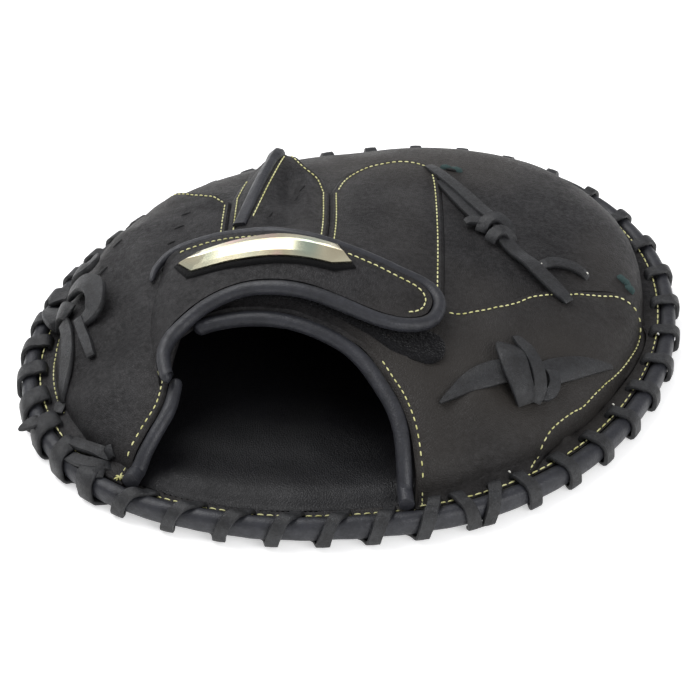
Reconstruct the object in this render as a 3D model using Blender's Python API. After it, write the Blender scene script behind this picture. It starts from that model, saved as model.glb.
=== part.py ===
"""Baseball training glove, the flat round kind, lying palm down.

Metres, +Z up. The origin is on the floor under the middle of the round palm, the wrist opening
faces -Y and the thumb is at +X. Places on the plan are shares of RIM_RADIUS.
"""
import math

import bmesh
import bpy
from mathutils import Matrix, Vector
from mathutils.geometry import delaunay_2d_cdt

# Plan of the glove
RIM_RADIUS = 0.135
# Rim radius every 22.5 degrees, counter-clockwise from +X, as shares of RIM_RADIUS
RIM_SHARES = (0.982, 1.032, 1.052, 1.015, 0.941, 0.893, 0.881, 0.907,
              0.978, 1.052, 1.065, 0.995, 0.938, 0.930, 0.930, 0.944)
RIM_STEP = 5.0

# Gaps between touching pieces, and between curved pieces that lie on each other
GAP = 0.0003
SEAT_GAP = 0.0006
SEAM_GAP = 0.0005

# Lace
LACE_WIDTH = 0.0050
LACE_THICKNESS = 0.0018
LACE_CLEAR_OF_FLOOR = 0.0002
HOLE_FROM_EDGE = 0.0028
HOLE_MARGIN = 0.0025

# Roll round the rim
ROLL_WIDTH = 0.0063
ROLL_HEIGHT = 0.0087
ROLL_CHAMFER = 0.0019

# Leather sheets
PALM_THICKNESS = 0.0065
PALM_SLOPE_WIDTH = 0.022
LINING_THICKNESS = 0.0012
LEATHER = 0.0020
SHELL_THICKNESS = 0.0023
PANEL_RAISE = 0.0015

# Dome of the back
FLANGE_WIDTH = 0.016
DOME_RISE = 0.034
DOME_POWER = 2.4
# Steepness of the dome's lip, lower is steeper, and width of the flange outside it as shares of
# FLANGE_WIDTH, both at the angles of RIM_SHARES
DOME_LIPS = (0.50, 0.40, 0.40, 0.46, 0.50, 0.44, 0.36, 0.34,
             0.42, 0.55, 0.55, 0.55, 0.55, 0.55, 0.55, 0.55)
FLANGE_SHARES = (0.97, 0.90, 0.88, 0.94, 1.00, 0.94, 0.87, 0.87,
                 0.92, 1.00, 1.00, 1.00, 1.00, 1.00, 1.00, 1.00)
HAND_RISE = 0.012
HAND_CENTRE = (-0.185, -0.222)
HAND_SPREAD = (0.333, 0.407)
HAND_FADE = 1.4
HOOD_RISE = 0.0085
HOOD_LEFT_WIDTH = 0.011
HOOD_RIGHT_WIDTH = 0.026
HOOD_FOLD = 0.0045

# Strap, patch and badge
STRAP_THICKNESS = 0.0036
STRAP_ARCH = 0.0030
STRAP_ROLL_RADIUS = 0.0028
PATCH_THICKNESS = 0.0014
BACKING_THICKNESS = 0.0010
BADGE_THICKNESS = 0.0022
BADGE_RIDGE = 0.0016
BADGE_LENGTH = 0.070
BADGE_WIDTH = 0.0120
BADGE_BORDER = 0.0016
BADGE_GAP = 0.0011
# Shape of the bar, as shares of its half-length and half-width, and its facets along
BADGE_SHOULDER = 0.80
BADGE_TAPER = 0.2
BADGE_END = 0.25
BADGE_STEPS = 12

# Rolled edges of the wrist opening, and the strip on the hood
ARCH_ROLL_RADIUS = 0.0030
MOUTH_ROLL_RADIUS = 0.0025
HOOD_STRIP_WIDTH = 0.0055
HOOD_STRIP_THICKNESS = 0.0016

# Facets: size of the triangles, and how near to an edge a crease may start
PALM_MESH = 0.050
PANEL_MESH = 0.0145
STRAP_MESH = 0.0100
CREASE_CLEARANCE = 0.0015
LIP_RING = 0.0035

# Heights, stacked from the floor
LACE_LOW = LACE_CLEAR_OF_FLOOR + LACE_THICKNESS / 2
RIM_UNDERSIDE = LACE_CLEAR_OF_FLOOR + LACE_THICKNESS + GAP
LINING_TOP = PALM_THICKNESS + GAP + LINING_THICKNESS
BACK_UNDERSIDE = LINING_TOP + GAP
FLANGE_TOP = BACK_UNDERSIDE + LEATHER
ROLL_TOP = RIM_UNDERSIDE + ROLL_HEIGHT

# Distances inwards from the rim line, which is the outer face of the lace
ROLL_START = LACE_THICKNESS + GAP
SHEET_START = ROLL_START + ROLL_WIDTH + GAP
HOLE_CENTRE = SHEET_START + HOLE_FROM_EDGE
HOLE_LENGTH = LACE_WIDTH + 2 * GAP
HOLE_DEPTH = LACE_THICKNESS + 2 * GAP
WELT_END = HOLE_CENTRE + HOLE_MARGIN
ROLL_END = SHEET_START + ARCH_ROLL_RADIUS

# Angles on the rim, in degrees, where a seam or an edge of the opening meets it
MOUTH_LEFT = 229.2
MOUTH_RIGHT = 280.6
THUMB_SEAM_END = 306.0
PINKY_SEAM_END = 137.3

# Each run of lace: angle of its first hole, step from hole to hole, number of holes and the lean of
# each crossing over the roll, in degrees; a run with a negative step winds clockwise
LACE_RUNS = {
    "heel_lace": (284.6, -8.45, 7, -3.2),
    "thumb_lace": (301.5, 9.05, 22, 1.2),
    "finger_lace": (143.0, 7.4, 8, 0.6),
    "corner_lace": (202.0, 7.0, 4, 1.6),
}
# The two crossings that meet in a V between the heel and the thumb: angle of the hole, lean
CROSS_LACES = {
    "cross_lace_left": (288.6, 2.0),
    "cross_lace_right": (296.6, -3.4),
}

# Seams between the panels of the back, each a smooth line through a few points
MOUTH_CORNER = (-0.500, -0.345)
STRAP_LEFT_JOINT = (-0.390, -0.200)
STRAP_MIDDLE_JOINT = (-0.100, -0.245)
THUMB_JOINT = (0.250, -0.270)
PINKY_JOINT = (-0.380, 0.280)
INDEX_JOINT = (-0.080, 0.300)
MOUTH_ROLL = [(-0.628, -0.705), (-0.583, -0.650), (-0.543, -0.588), (-0.527, -0.520),
              (-0.523, -0.475)]
MOUTH_EDGE = MOUTH_ROLL[:-1] + [(-0.518, -0.430), MOUTH_CORNER]
ARCH_EDGE = [MOUTH_CORNER, (-0.430, -0.320), (-0.275, -0.340), (-0.120, -0.385),
             (0.008, -0.452), (0.090, -0.556), (0.142, -0.668), (0.162, -0.770)]
CORNER_SEAM = [MOUTH_CORNER, STRAP_LEFT_JOINT]
STRAP_SEAM_LEFT = [STRAP_LEFT_JOINT, (-0.250, -0.215), STRAP_MIDDLE_JOINT]
STRAP_SEAM_RIGHT = [STRAP_MIDDLE_JOINT, (0.080, -0.280), THUMB_JOINT]
FINGER_SEAM = [STRAP_LEFT_JOINT, (-0.385, 0.050), PINKY_JOINT]
INDEX_SEAM = [STRAP_MIDDLE_JOINT, (-0.080, 0.050), INDEX_JOINT]
HOOD_EDGE = [PINKY_JOINT, (-0.355, 0.390), (-0.310, 0.490), (-0.250, 0.563), (-0.195, 0.535),
             (-0.150, 0.460), (-0.103, 0.395), INDEX_JOINT]
INDEX_EDGE = [INDEX_JOINT, (-0.045, 0.415), (0.030, 0.510), (0.135, 0.555), (0.225, 0.520),
              (0.258, 0.430), (0.262, 0.100), THUMB_JOINT]
PINKY_EDGE = [PINKY_JOINT, (-0.430, 0.345), (-0.490, 0.395), (-0.560, 0.465), (-0.598, 0.520)]
THUMB_EDGE = [THUMB_JOINT, (0.300, -0.262), (0.415, -0.206), (0.535, -0.134), (0.690, -0.063),
              (0.796, -0.020), (0.864, -0.052), (0.852, -0.149), (0.785, -0.298),
              (0.672, -0.480), (0.570, -0.588), (0.505, -0.652)]

# Ridge of the finger hood, from its foot to its peak
HOOD_RIDGE = ((-0.355, 0.060), (-0.248, 0.515))
# Shares of the ridge over which the hood climbs, falls again, and has its strip
HOOD_CLIMB = (-0.10, 0.95)
HOOD_FALL = (1.00, 1.16)
HOOD_STRIP_SPAN = (0.06, 0.98)
HOOD_STRIP_STEPS = 8

# Spaces inside for the hand: middle and half-lengths
HAND_SPACES = (((-0.185, -0.333), (0.430, 0.444)),
               ((-0.185, 0.222), (0.459, 0.500)),
               ((0.259, -0.444), (0.333, 0.185)),
               ((-0.207, -0.667), (0.459, 0.333)))
# Share of those half-lengths where the border starts to thicken, and where it is full
HAND_BORDER = (0.80, 1.12)

# Outlines of what lies on the panels
STRAP_FRONT = [(-0.553, -0.520), (-0.563, -0.440), (-0.530, -0.365), (-0.455, -0.312),
               (-0.340, -0.295), (-0.230, -0.310), (-0.120, -0.335), (-0.020, -0.365),
               (0.070, -0.388), (0.140, -0.388), (0.195, -0.360), (0.215, -0.300),
               (0.185, -0.250), (0.110, -0.222), (0.020, -0.193), (-0.080, -0.163),
               (-0.200, -0.123), (-0.320, -0.075), (-0.430, -0.033), (-0.520, -0.025),
               (-0.572, -0.070)]
STRAP_LEFT = [(-0.572, -0.070), (-0.592, -0.200), (-0.590, -0.360), (-0.553, -0.520)]
STRAP_TIP = 0.215
PATCH_OUTLINE = [(-0.440, -0.285), (-0.300, -0.300), (-0.150, -0.335), (0.000, -0.400),
                 (0.110, -0.470), (0.200, -0.490), (0.245, -0.455), (0.235, -0.395),
                 (0.130, -0.350), (0.000, -0.310), (-0.200, -0.250), (-0.400, -0.235)]
BADGE_CENTRE = (-0.265, -0.192)
BADGE_TURN = -12.0

# Knotted laces: each row is a place, then the width and the thickness as shares of the lace's
TIE_STEP = 0.006
TIE_GAP = 0.0008
THUMB_TIE = [((0.235, -0.640), 0.5, 0.9), ((0.275, -0.605), 1.9, 1.0),
             ((0.345, -0.560), 2.3, 1.1), ((0.405, -0.520), 1.5, 1.6),
             ((0.430, -0.505), 2.6, 3.0), ((0.480, -0.475), 2.9, 3.2),
             ((0.515, -0.455), 1.7, 1.8), ((0.590, -0.410), 2.0, 1.1),
             ((0.665, -0.360), 1.5, 1.0), ((0.735, -0.325), 0.5, 0.9)]
WEB_TIE = [((0.275, 0.460), 0.9, 1.0), ((0.300, 0.390), 1.2, 1.2), ((0.350, 0.280), 1.6, 1.3),
           ((0.395, 0.170), 1.6, 1.7), ((0.420, 0.110), 2.5, 3.2), ((0.450, 0.040), 2.2, 3.0),
           ((0.485, -0.005), 1.4, 1.6), ((0.550, -0.075), 1.5, 1.2), ((0.605, -0.140), 1.4, 1.2)]
# Where the web tie passes the edge of the thumb panel, as shares along Y
WEB_STEP = (-0.040, 0.030)
WEB_LOOP = [((0.560, -0.020), 0.6, 0.9), ((0.615, 0.010), 1.0, 1.1), ((0.690, 0.010), 0.6, 0.9)]
PINKY_TIE = [((-0.780, 0.100), 0.8, 1.2), ((-0.795, 0.040), 1.8, 2.4),
             ((-0.805, -0.030), 2.6, 3.6), ((-0.805, -0.100), 2.2, 3.4),
             ((-0.808, -0.170), 1.5, 1.8), ((-0.822, -0.290), 1.6, 1.2),
             ((-0.820, -0.390), 1.2, 1.1), ((-0.800, -0.460), 0.6, 1.0)]
CORNER_KNOT = [((-0.782, -0.528), 0.5, 1.0), ((-0.744, -0.581), 1.0, 1.9),
               ((-0.705, -0.628), 1.1, 1.6), ((-0.668, -0.664), 0.5, 1.0)]


def around(table, angle):
    """Value at an angle in degrees on a smooth closed line through a table of even steps."""
    count = len(table)
    place = (angle / 360.0 * count) % count
    index = int(place)
    part = place - index
    before, start, end, after = (table[(index + k) % count] for k in (-1, 0, 1, 2))
    return 0.5 * (2 * start + (end - before) * part
                  + (2 * before - 5 * start + 4 * end - after) * part ** 2
                  + (3 * start - before - 3 * end + after) * part ** 3)


def rim_radius(angle):
    return around(RIM_SHARES, angle) * RIM_RADIUS


def rim_point(angle, inward):
    radius = rim_radius(angle) - inward
    turn = math.radians(angle)
    return Vector((radius * math.cos(turn), radius * math.sin(turn)))


def rim_direction(angle):
    """Direction of the rim at an angle, counter-clockwise."""
    return (rim_point(angle + 1, HOLE_CENTRE) - rim_point(angle - 1, HOLE_CENTRE)).normalized()


def inset(point):
    """Distance of a plan point inwards from the rim line."""
    angle = math.degrees(math.atan2(point[1], point[0]))
    return rim_radius(angle) - math.hypot(point[0], point[1])


def smooth(value, low, high):
    share = min(max((value - low) / (high - low), 0.0), 1.0)
    return share * share * (3.0 - 2.0 * share)


def back_height(x, y):
    """Height of the back of the glove: a flat flange, a dome and a rise over the hand."""
    angle = math.degrees(math.atan2(y, x))
    dome_radius = rim_radius(angle) - FLANGE_WIDTH * around(FLANGE_SHARES, angle)
    share = min(math.hypot(x, y) / dome_radius, 1.0)
    height = FLANGE_TOP + DOME_RISE * (1.0 - share ** DOME_POWER) ** around(DOME_LIPS, angle)
    across = (x / RIM_RADIUS - HAND_CENTRE[0]) / HAND_SPREAD[0]
    along = (y / RIM_RADIUS - HAND_CENTRE[1]) / HAND_SPREAD[1]
    fade = min(max(HAND_FADE * (1.0 - share), 0.0), 1.0)
    return height + HAND_RISE * math.exp(-across ** 2 - along ** 2) * fade


def hand_space(x, y):
    """1 over the hollow for the hand, 0 over the padded border."""
    closed = 1.0
    for middle, half in HAND_SPACES:
        across = (x / RIM_RADIUS - middle[0]) / half[0]
        along = (y / RIM_RADIUS - middle[1]) / half[1]
        closed *= smooth(math.hypot(across, along), *HAND_BORDER)
    return 1.0 - closed


def back_underside(x, y):
    """Ceiling of the hollow, one leather below the back, or the flange's underside on the border."""
    step = 0.001
    slope = math.hypot((back_height(x + step, y) - back_height(x - step, y)) / (2 * step),
                       (back_height(x, y + step) - back_height(x, y - step)) / (2 * step))
    ceiling = back_height(x, y) - SHELL_THICKNESS * math.sqrt(1.0 + slope * slope)
    return BACK_UNDERSIDE + max(ceiling - BACK_UNDERSIDE, 0.0) * hand_space(x, y)


def raised_height(x, y):
    """Top of a panel that is stitched on top of the shell; level with it on the flange."""
    return back_height(x, y) + PANEL_RAISE * smooth(inset((x, y)), WELT_END, WELT_END + 0.005)


def hood_lift(x, y):
    """Rise of the finger hood, steep on the left of its ridge and gentle on the right."""
    foot = Vector(HOOD_RIDGE[0]) * RIM_RADIUS
    peak = Vector(HOOD_RIDGE[1]) * RIM_RADIUS
    line = peak - foot
    offset = Vector((x, y)) - foot
    along = offset.dot(line) / line.length_squared
    across = (offset.y * line.x - offset.x * line.y) / line.length
    width = HOOD_LEFT_WIDTH if across > 0 else HOOD_RIGHT_WIDTH
    side = max(1.0 - abs(across) / width, 0.0)
    climb = smooth(along, *HOOD_CLIMB) * (1.0 - smooth(along, *HOOD_FALL))
    return HOOD_RISE * climb * side


def web_height(x, y):
    """Leather under the web tie, whose tail runs onto the raised thumb panel."""
    return back_height(x, y) + PANEL_RAISE * (1.0 - smooth(y / RIM_RADIUS, *WEB_STEP))


def hood_height(x, y):
    return raised_height(x, y) + hood_lift(x, y)


def hood_underside(x, y):
    """Ceiling under the hood, whose leather is folded in double along the ridge."""
    return back_underside(x, y) + max(hood_lift(x, y) - HOOD_FOLD, 0.0) * hand_space(x, y)


def palm_underside(x, y):
    depth = inset((x, y)) - WELT_END
    return RIM_UNDERSIDE * (1.0 - min(max(depth / PALM_SLOPE_WIDTH, 0.0), 1.0))


def palm_top(x, y):
    return LINING_TOP if inset((x, y)) < WELT_END + GAP / 2 else PALM_THICKNESS


def strap_standoff(x, y):
    """Gap from the raised panels to the strap's underside, arched between its seats."""
    share = (x / RIM_RADIUS - STRAP_LEFT[1][0]) / (STRAP_TIP - STRAP_LEFT[1][0])
    over_patch = (PATCH_THICKNESS + SEAT_GAP) * smooth(share, 0.05, 0.30)
    return SEAT_GAP + over_patch + STRAP_ARCH * math.sin(math.pi * min(max(share, 0.0), 1.0))


def strap_underside(x, y):
    return back_height(x, y) + PANEL_RAISE + strap_standoff(x, y)


def strap_top(x, y):
    return strap_underside(x, y) + STRAP_THICKNESS


def badge_place(x, y):
    """Place along and across the badge, as shares of its half-length and half-width."""
    turn = math.radians(-BADGE_TURN)
    offset_x = x - BADGE_CENTRE[0] * RIM_RADIUS
    offset_y = y - BADGE_CENTRE[1] * RIM_RADIUS
    along = offset_x * math.cos(turn) - offset_y * math.sin(turn)
    across = offset_x * math.sin(turn) + offset_y * math.cos(turn)
    return along / (BADGE_LENGTH / 2), across / (BADGE_WIDTH / 2)


def backing_underside(x, y):
    return strap_top(x, y) + BADGE_GAP


def backing_top(x, y):
    return backing_underside(x, y) + BACKING_THICKNESS


def badge_underside(x, y):
    return backing_top(x, y) + BADGE_GAP


def badge_top(x, y):
    """Bevelled bar: highest along its middle line."""
    along, across = badge_place(x, y)
    ridge = 1.0 - min(max(abs(across), abs(along) ** 3), 1.0)
    return badge_underside(x, y) + BADGE_THICKNESS - BADGE_RIDGE * (1.0 - ridge)


def smooth_line(points, step):
    """Points about a step apart, on the plan, on a smooth line through the given ones."""
    points = [Vector(point) for point in points]
    ends = [2 * points[0] - points[1]] + points + [2 * points[-1] - points[-2]]
    line = []
    for index in range(len(points) - 1):
        before, start, end, after = ends[index:index + 4]
        pieces = max(1, round(Vector((end - start)[:2]).length / step))
        for piece in range(pieces):
            part = piece / pieces
            line.append(0.5 * (2 * start + (end - before) * part
                               + (2 * before - 5 * start + 4 * end - after) * part ** 2
                               + (3 * start - before - 3 * end + after) * part ** 3))
    return line + [points[-1]]


def plan_line(shares, step=0.009):
    """Smooth line through points given as shares of RIM_RADIUS."""
    return smooth_line([Vector(share) * RIM_RADIUS for share in shares], step)


def rim_line(start, end, inward):
    """Points along the rim, counter-clockwise between two angles."""
    if end < start:
        end += 360.0
    steps = max(1, round((end - start) / RIM_STEP))
    return [rim_point(start + (end - start) * index / steps, inward) for index in range(steps + 1)]


def lip_line(inward):
    """The foot of the dome all round, or a line a distance inwards from it."""
    angles = [index * RIM_STEP for index in range(round(360 / RIM_STEP) + 1)]
    return [rim_point(angle, FLANGE_WIDTH * around(FLANGE_SHARES, angle) + inward)
            for angle in angles]


def joined(*lines):
    """One closed outline from lines that follow each other, without repeated points."""
    outline = []
    for line in lines:
        for point in line:
            if not outline or (point - outline[-1]).length > 0.0005:
                outline.append(point)
    if (outline[0] - outline[-1]).length < 0.0005:
        outline.pop()
    return outline


def moved_inwards(outline, distance):
    """The outline with each point moved to its left, which is inwards on a counter-clockwise one."""
    count = len(outline)
    result = []
    for index, point in enumerate(outline):
        before = (point - outline[index - 1]).normalized()
        after = (outline[(index + 1) % count] - point).normalized()
        normal_before = Vector((-before.y, before.x))
        normal_after = Vector((-after.y, after.x))
        middle = (normal_before + normal_after).normalized()
        result.append(point + middle * distance / max(middle.dot(normal_before), 0.5))
    return result


def inside(point, outline):
    """True where a plan point lies inside a closed outline."""
    crossings = False
    for index, end in enumerate(outline):
        start = outline[index - 1]
        if (start.y > point.y) != (end.y > point.y):
            share = (point.y - start.y) / (end.y - start.y)
            if point.x < start.x + share * (end.x - start.x):
                crossings = not crossings
    return crossings


def distance_to(point, outline):
    nearest = 1.0
    for index, end in enumerate(outline):
        start = outline[index - 1]
        line = end - start
        share = min(max((point - start).dot(line) / line.length_squared, 0.0), 1.0)
        nearest = min(nearest, (point - start - line * share).length)
    return nearest


def lattice(spacing):
    """Plan points of a triangular lattice over the whole glove."""
    reach = RIM_RADIUS * max(RIM_SHARES)
    row_height = spacing * math.sqrt(3) / 2
    rows = math.ceil(reach / row_height)
    columns = math.ceil(reach / spacing)
    return [Vector(((column + 0.5 * (row % 2)) * spacing, row * row_height))
            for row in range(-rows, rows + 1) for column in range(-columns, columns + 1)]


def lace_holes():
    """Angles of all the lace holes."""
    angles = [start + step * index for start, step, count, _ in LACE_RUNS.values()
              for index in range(count)]
    return angles + [angle for angle, _ in CROSS_LACES.values()]


def hole_outline(angle):
    """Rectangular hole for the lace, clockwise."""
    along = rim_direction(angle)
    outward = Vector((along.y, -along.x))
    centre = rim_point(angle, HOLE_CENTRE)
    corners = ((-1, -1), (1, -1), (1, 1), (-1, 1))
    return [centre + along * side * HOLE_LENGTH / 2 + outward * end * HOLE_DEPTH / 2
            for side, end in corners]


def add_object(name, mesh, material):
    mesh.materials.append(material)
    piece = bpy.data.objects.new(name, mesh)
    bpy.context.scene.collection.objects.link(piece)
    return piece


def sheet(name, outline, top, bottom, material, spacing, creases=(), holes=(), keep_off=0.45):
    """Closed piece between two heights over a plan outline, with holes cut through it.

    Its facets follow a lattice of the given spacing and the lines in creases.
    """
    loops = [outline] + [hole for hole in holes if inside(hole[0], outline)]
    points = [point for loop in loops for point in loop]
    edges = []
    first = 0
    for loop in loops:
        edges += [(first + index, first + (index + 1) % len(loop)) for index in range(len(loop))]
        first += len(loop)
    inner_points = []
    places = {}
    for crease in creases:
        last = None
        for point in crease:
            if not inside(point, outline) or distance_to(point, outline) < CREASE_CLEARANCE:
                last = None
                continue
            key = (round(point.x, 6), round(point.y, 6))
            if key not in places:
                places[key] = first + len(inner_points)
                inner_points.append(point)
            if last is not None:
                edges.append((last, places[key]))
            last = places[key]
    for point in lattice(spacing):
        if inside(point, outline) and all(distance_to(point, loop) > keep_off * spacing
                                          for loop in loops):
            if all((point - other).length > keep_off * spacing for other in inner_points):
                inner_points.append(point)
    points += inner_points
    flat, _, triangles, _, _, _ = delaunay_2d_cdt(points, edges, [], 0, 1e-7)
    kept = []
    for triangle in triangles:
        middle = sum((flat[corner] for corner in triangle), Vector((0.0, 0.0))) / 3
        if inside(middle, outline) and not any(inside(middle, hole) for hole in loops[1:]):
            kept.append(tuple(triangle))
    build = bmesh.new()
    upper = [build.verts.new((point.x, point.y, top(point.x, point.y))) for point in flat]
    lower = [build.verts.new((point.x, point.y, bottom(point.x, point.y))) for point in flat]
    directed = {(a, b) for triangle in kept
                for a, b in zip(triangle, triangle[1:] + triangle[:1])}
    for triangle in kept:
        build.faces.new([upper[corner] for corner in triangle])
        build.faces.new([lower[corner] for corner in reversed(triangle)])
    for start, end in directed:
        if (end, start) not in directed:
            build.faces.new((upper[end], upper[start], lower[start], lower[end]))
    for vertex in [vertex for vertex in build.verts if not vertex.link_faces]:
        build.verts.remove(vertex)
    mesh = bpy.data.meshes.new(name)
    bmesh.ops.recalc_face_normals(build, faces=build.faces)
    build.to_mesh(mesh)
    build.free()
    mesh.shade_smooth()
    mesh.set_sharp_from_angle(angle=math.radians(40))
    return add_object(name, mesh, material)


def loft(name, rings, material, closed=False):
    """Closed piece through a row of rings of points, joined end to end or capped."""
    build = bmesh.new()
    rows = [[build.verts.new(point) for point in ring] for ring in rings]
    sides = len(rows[0])
    for index in range(len(rows) if closed else len(rows) - 1):
        here = rows[index]
        there = rows[(index + 1) % len(rows)]
        for side in range(sides):
            build.faces.new((here[side], here[(side + 1) % sides],
                             there[(side + 1) % sides], there[side]))
    if not closed:
        build.faces.new(rows[0][::-1])
        build.faces.new(rows[-1])
    bmesh.ops.recalc_face_normals(build, faces=build.faces)
    mesh = bpy.data.meshes.new(name)
    build.to_mesh(mesh)
    build.free()
    mesh.shade_smooth()
    mesh.set_sharp_from_angle(angle=math.radians(50))
    return add_object(name, mesh, material)


def material(name, colour, roughness, metallic=0.0):
    made = bpy.data.materials.new(name)
    made.use_nodes = True
    shader = made.node_tree.nodes["Principled BSDF"]
    shader.inputs["Base Color"].default_value = (*colour, 1.0)
    shader.inputs["Roughness"].default_value = roughness
    shader.inputs["Metallic"].default_value = metallic
    return made


def tube(name, path, radius, paint, sides=8):
    """Round roll along a path of 3-D points, its end rings smaller so that it closes round."""
    rings = []
    count = len(path)
    for index, point in enumerate(path):
        along = (path[min(index + 1, count - 1)] - path[max(index - 1, 0)]).normalized()
        across = along.cross(Vector((0, 0, 1))).normalized()
        upward = across.cross(along)
        size = radius * (0.6 if index in (0, count - 1) else 1.0)
        rings.append([point + across * size * math.cos(2 * math.pi * side / sides)
                      + upward * size * math.sin(2 * math.pi * side / sides)
                      for side in range(sides)])
    return loft(name, rings, paint)


def tie(name, rows, surface, paint):
    """Flat lace that swells into its knot, lying along the leather."""
    path = smooth_line([(row[0][0] * RIM_RADIUS, row[0][1] * RIM_RADIUS, *row[1:]) for row in rows],
                       TIE_STEP)
    rings = []
    for index, row in enumerate(path):
        place = Vector(row[:2])
        before = path[max(index - 1, 0)]
        after = path[min(index + 1, len(path) - 1)]
        along = Vector((after - before)[:2])
        across = Vector((-along.y, along.x)).normalized()
        half_width = row[2] * LACE_WIDTH / 2
        thickness = row[3] * LACE_THICKNESS
        ring = []
        for share, rise in ((1.0, 0.35), (0.55, 1.0), (-0.55, 1.0), (-1.0, 0.35), (-0.7, 0.0),
                            (0.0, 0.0), (0.7, 0.0)):
            spot = place + across * half_width * share
            ring.append((spot.x, spot.y, surface(*spot) + TIE_GAP + thickness * rise))
        rings.append(ring)
    return loft(name, rings, paint)


def flange_top(angle):
    """Top of the leather that the lace goes through: the palm's alone across the wrist opening."""
    return LINING_TOP if MOUTH_LEFT < angle % 360.0 < MOUTH_RIGHT else FLANGE_TOP


def lace_wrap(angle, step, lean):
    """One turn of lace: up through a hole, over the roll and down its outer side.

    Each row is the angle, the distance inwards, the height, and the two parts of the direction
    that the lace's outer face looks in, inwards and up.
    """
    half = LACE_THICKNESS / 2
    off = GAP + half
    corner = off * math.tan(math.radians(22.5))
    inner = ROLL_START + ROLL_WIDTH
    diagonal = math.sqrt(0.5)
    steep = (math.sin(math.radians(22.5)), math.cos(math.radians(22.5)))
    top = ROLL_TOP + off
    low = LACE_LOW
    hole_top = flange_top(angle) + off
    return [
        (angle, HOLE_CENTRE, low, diagonal, -diagonal, math.sqrt(2)),
        (angle, HOLE_CENTRE, hole_top, diagonal, diagonal, math.sqrt(2)),
        (angle + 0.25 * lean, inner - ROLL_CHAMFER + corner, top, steep[0], steep[1], 1.0),
        (angle + 0.45 * lean, ROLL_START + ROLL_CHAMFER - corner, top, -steep[0], steep[1], 1.08),
        (angle + 0.65 * lean, ROLL_START - off, ROLL_TOP - ROLL_CHAMFER + corner,
         -steep[1], steep[0], 1.08),
        (angle + lean, ROLL_START - off, RIM_UNDERSIDE + ROLL_CHAMFER - corner,
         -steep[1], -steep[0], 1.08),
        (angle + lean + 0.1 * step, ROLL_START + ROLL_CHAMFER - corner, low,
         -steep[0], -steep[1], 1.08),
    ]


def lace(name, rows, paint):
    """Flat lace along rows as lace_wrap gives them."""
    rings = []
    for angle, inward, height, face_in, face_up, stretch in rows:
        along = rim_direction(angle)
        face = Vector((-along.y * face_in, along.x * face_in, face_up))
        side = along.to_3d() * LACE_WIDTH / 2
        lift = face * LACE_THICKNESS / 2 * stretch
        place = Vector((*rim_point(angle, inward), height))
        rings.append([place - side - lift, place + side - lift, place + side + lift,
                      place - side + lift])
    return loft(name, rings, paint)


def make_panels(leather):
    """The five panels of the back, cut from one dome along its seams."""
    mouth = rim_line(MOUTH_LEFT, MOUTH_LEFT, SHEET_START)[:1] + plan_line(MOUTH_EDGE)
    arch = plan_line(ARCH_EDGE) + [rim_point(MOUTH_RIGHT, SHEET_START)]
    corner = plan_line(CORNER_SEAM)
    strap_left = plan_line(STRAP_SEAM_LEFT)
    strap_right = plan_line(STRAP_SEAM_RIGHT)
    finger = plan_line(FINGER_SEAM)
    index_seam = plan_line(INDEX_SEAM)
    hood = plan_line(HOOD_EDGE)
    index_edge = plan_line(INDEX_EDGE)
    pinky = plan_line(PINKY_EDGE) + [rim_point(PINKY_SEAM_END, SHEET_START)]
    thumb = plan_line(THUMB_EDGE) + [rim_point(THUMB_SEAM_END, SHEET_START)]
    cells = {
        "pinky_panel": (joined(rim_line(PINKY_SEAM_END, MOUTH_LEFT, SHEET_START), mouth, corner,
                               finger, pinky), raised_height, back_underside),
        "finger_hood": (joined(strap_left, index_seam, hood[::-1], finger[::-1]),
                        hood_height, hood_underside),
        "index_panel": (joined(strap_right, index_edge[::-1], index_seam[::-1]),
                        raised_height, back_underside),
        "thumb_panel": (joined(arch, rim_line(MOUTH_RIGHT, THUMB_SEAM_END, SHEET_START),
                               thumb[::-1], strap_right[::-1], strap_left[::-1], corner[::-1]),
                        raised_height, back_underside),
        "back_shell": (joined(rim_line(THUMB_SEAM_END, PINKY_SEAM_END, SHEET_START), pinky[::-1],
                              hood, index_edge, thumb), back_height, back_underside),
    }
    holes = [hole_outline(angle) for angle in lace_holes()]
    creases = [lip_line(0.0), lip_line(LIP_RING)]
    ridge = plan_line(HOOD_RIDGE)
    for name, (outline, top, bottom) in cells.items():
        lines = creases + [ridge] if name == "finger_hood" else creases
        sheet(name, moved_inwards(outline, SEAM_GAP / 2), top, bottom, leather, PANEL_MESH,
              creases=lines, holes=holes)


def make_palm(leather, lining):
    """The palm, thicker at its rim where the lace goes through, and the lining in its recess."""
    holes = [hole_outline(angle) for angle in lace_holes()]
    creases = [rim_line(0, 360, WELT_END), rim_line(0, 360, WELT_END + GAP),
               rim_line(0, 360, WELT_END + PALM_SLOPE_WIDTH)[::3]]
    sheet("palm_panel", rim_line(0, 360, SHEET_START)[:-1], palm_top, palm_underside, leather,
          PALM_MESH, creases=creases, holes=holes)
    sheet("palm_lining", rim_line(0, 360, WELT_END + 4 * GAP)[:-1],
          lambda x, y: LINING_TOP, lambda x, y: PALM_THICKNESS + GAP, lining, PALM_MESH)


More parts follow.
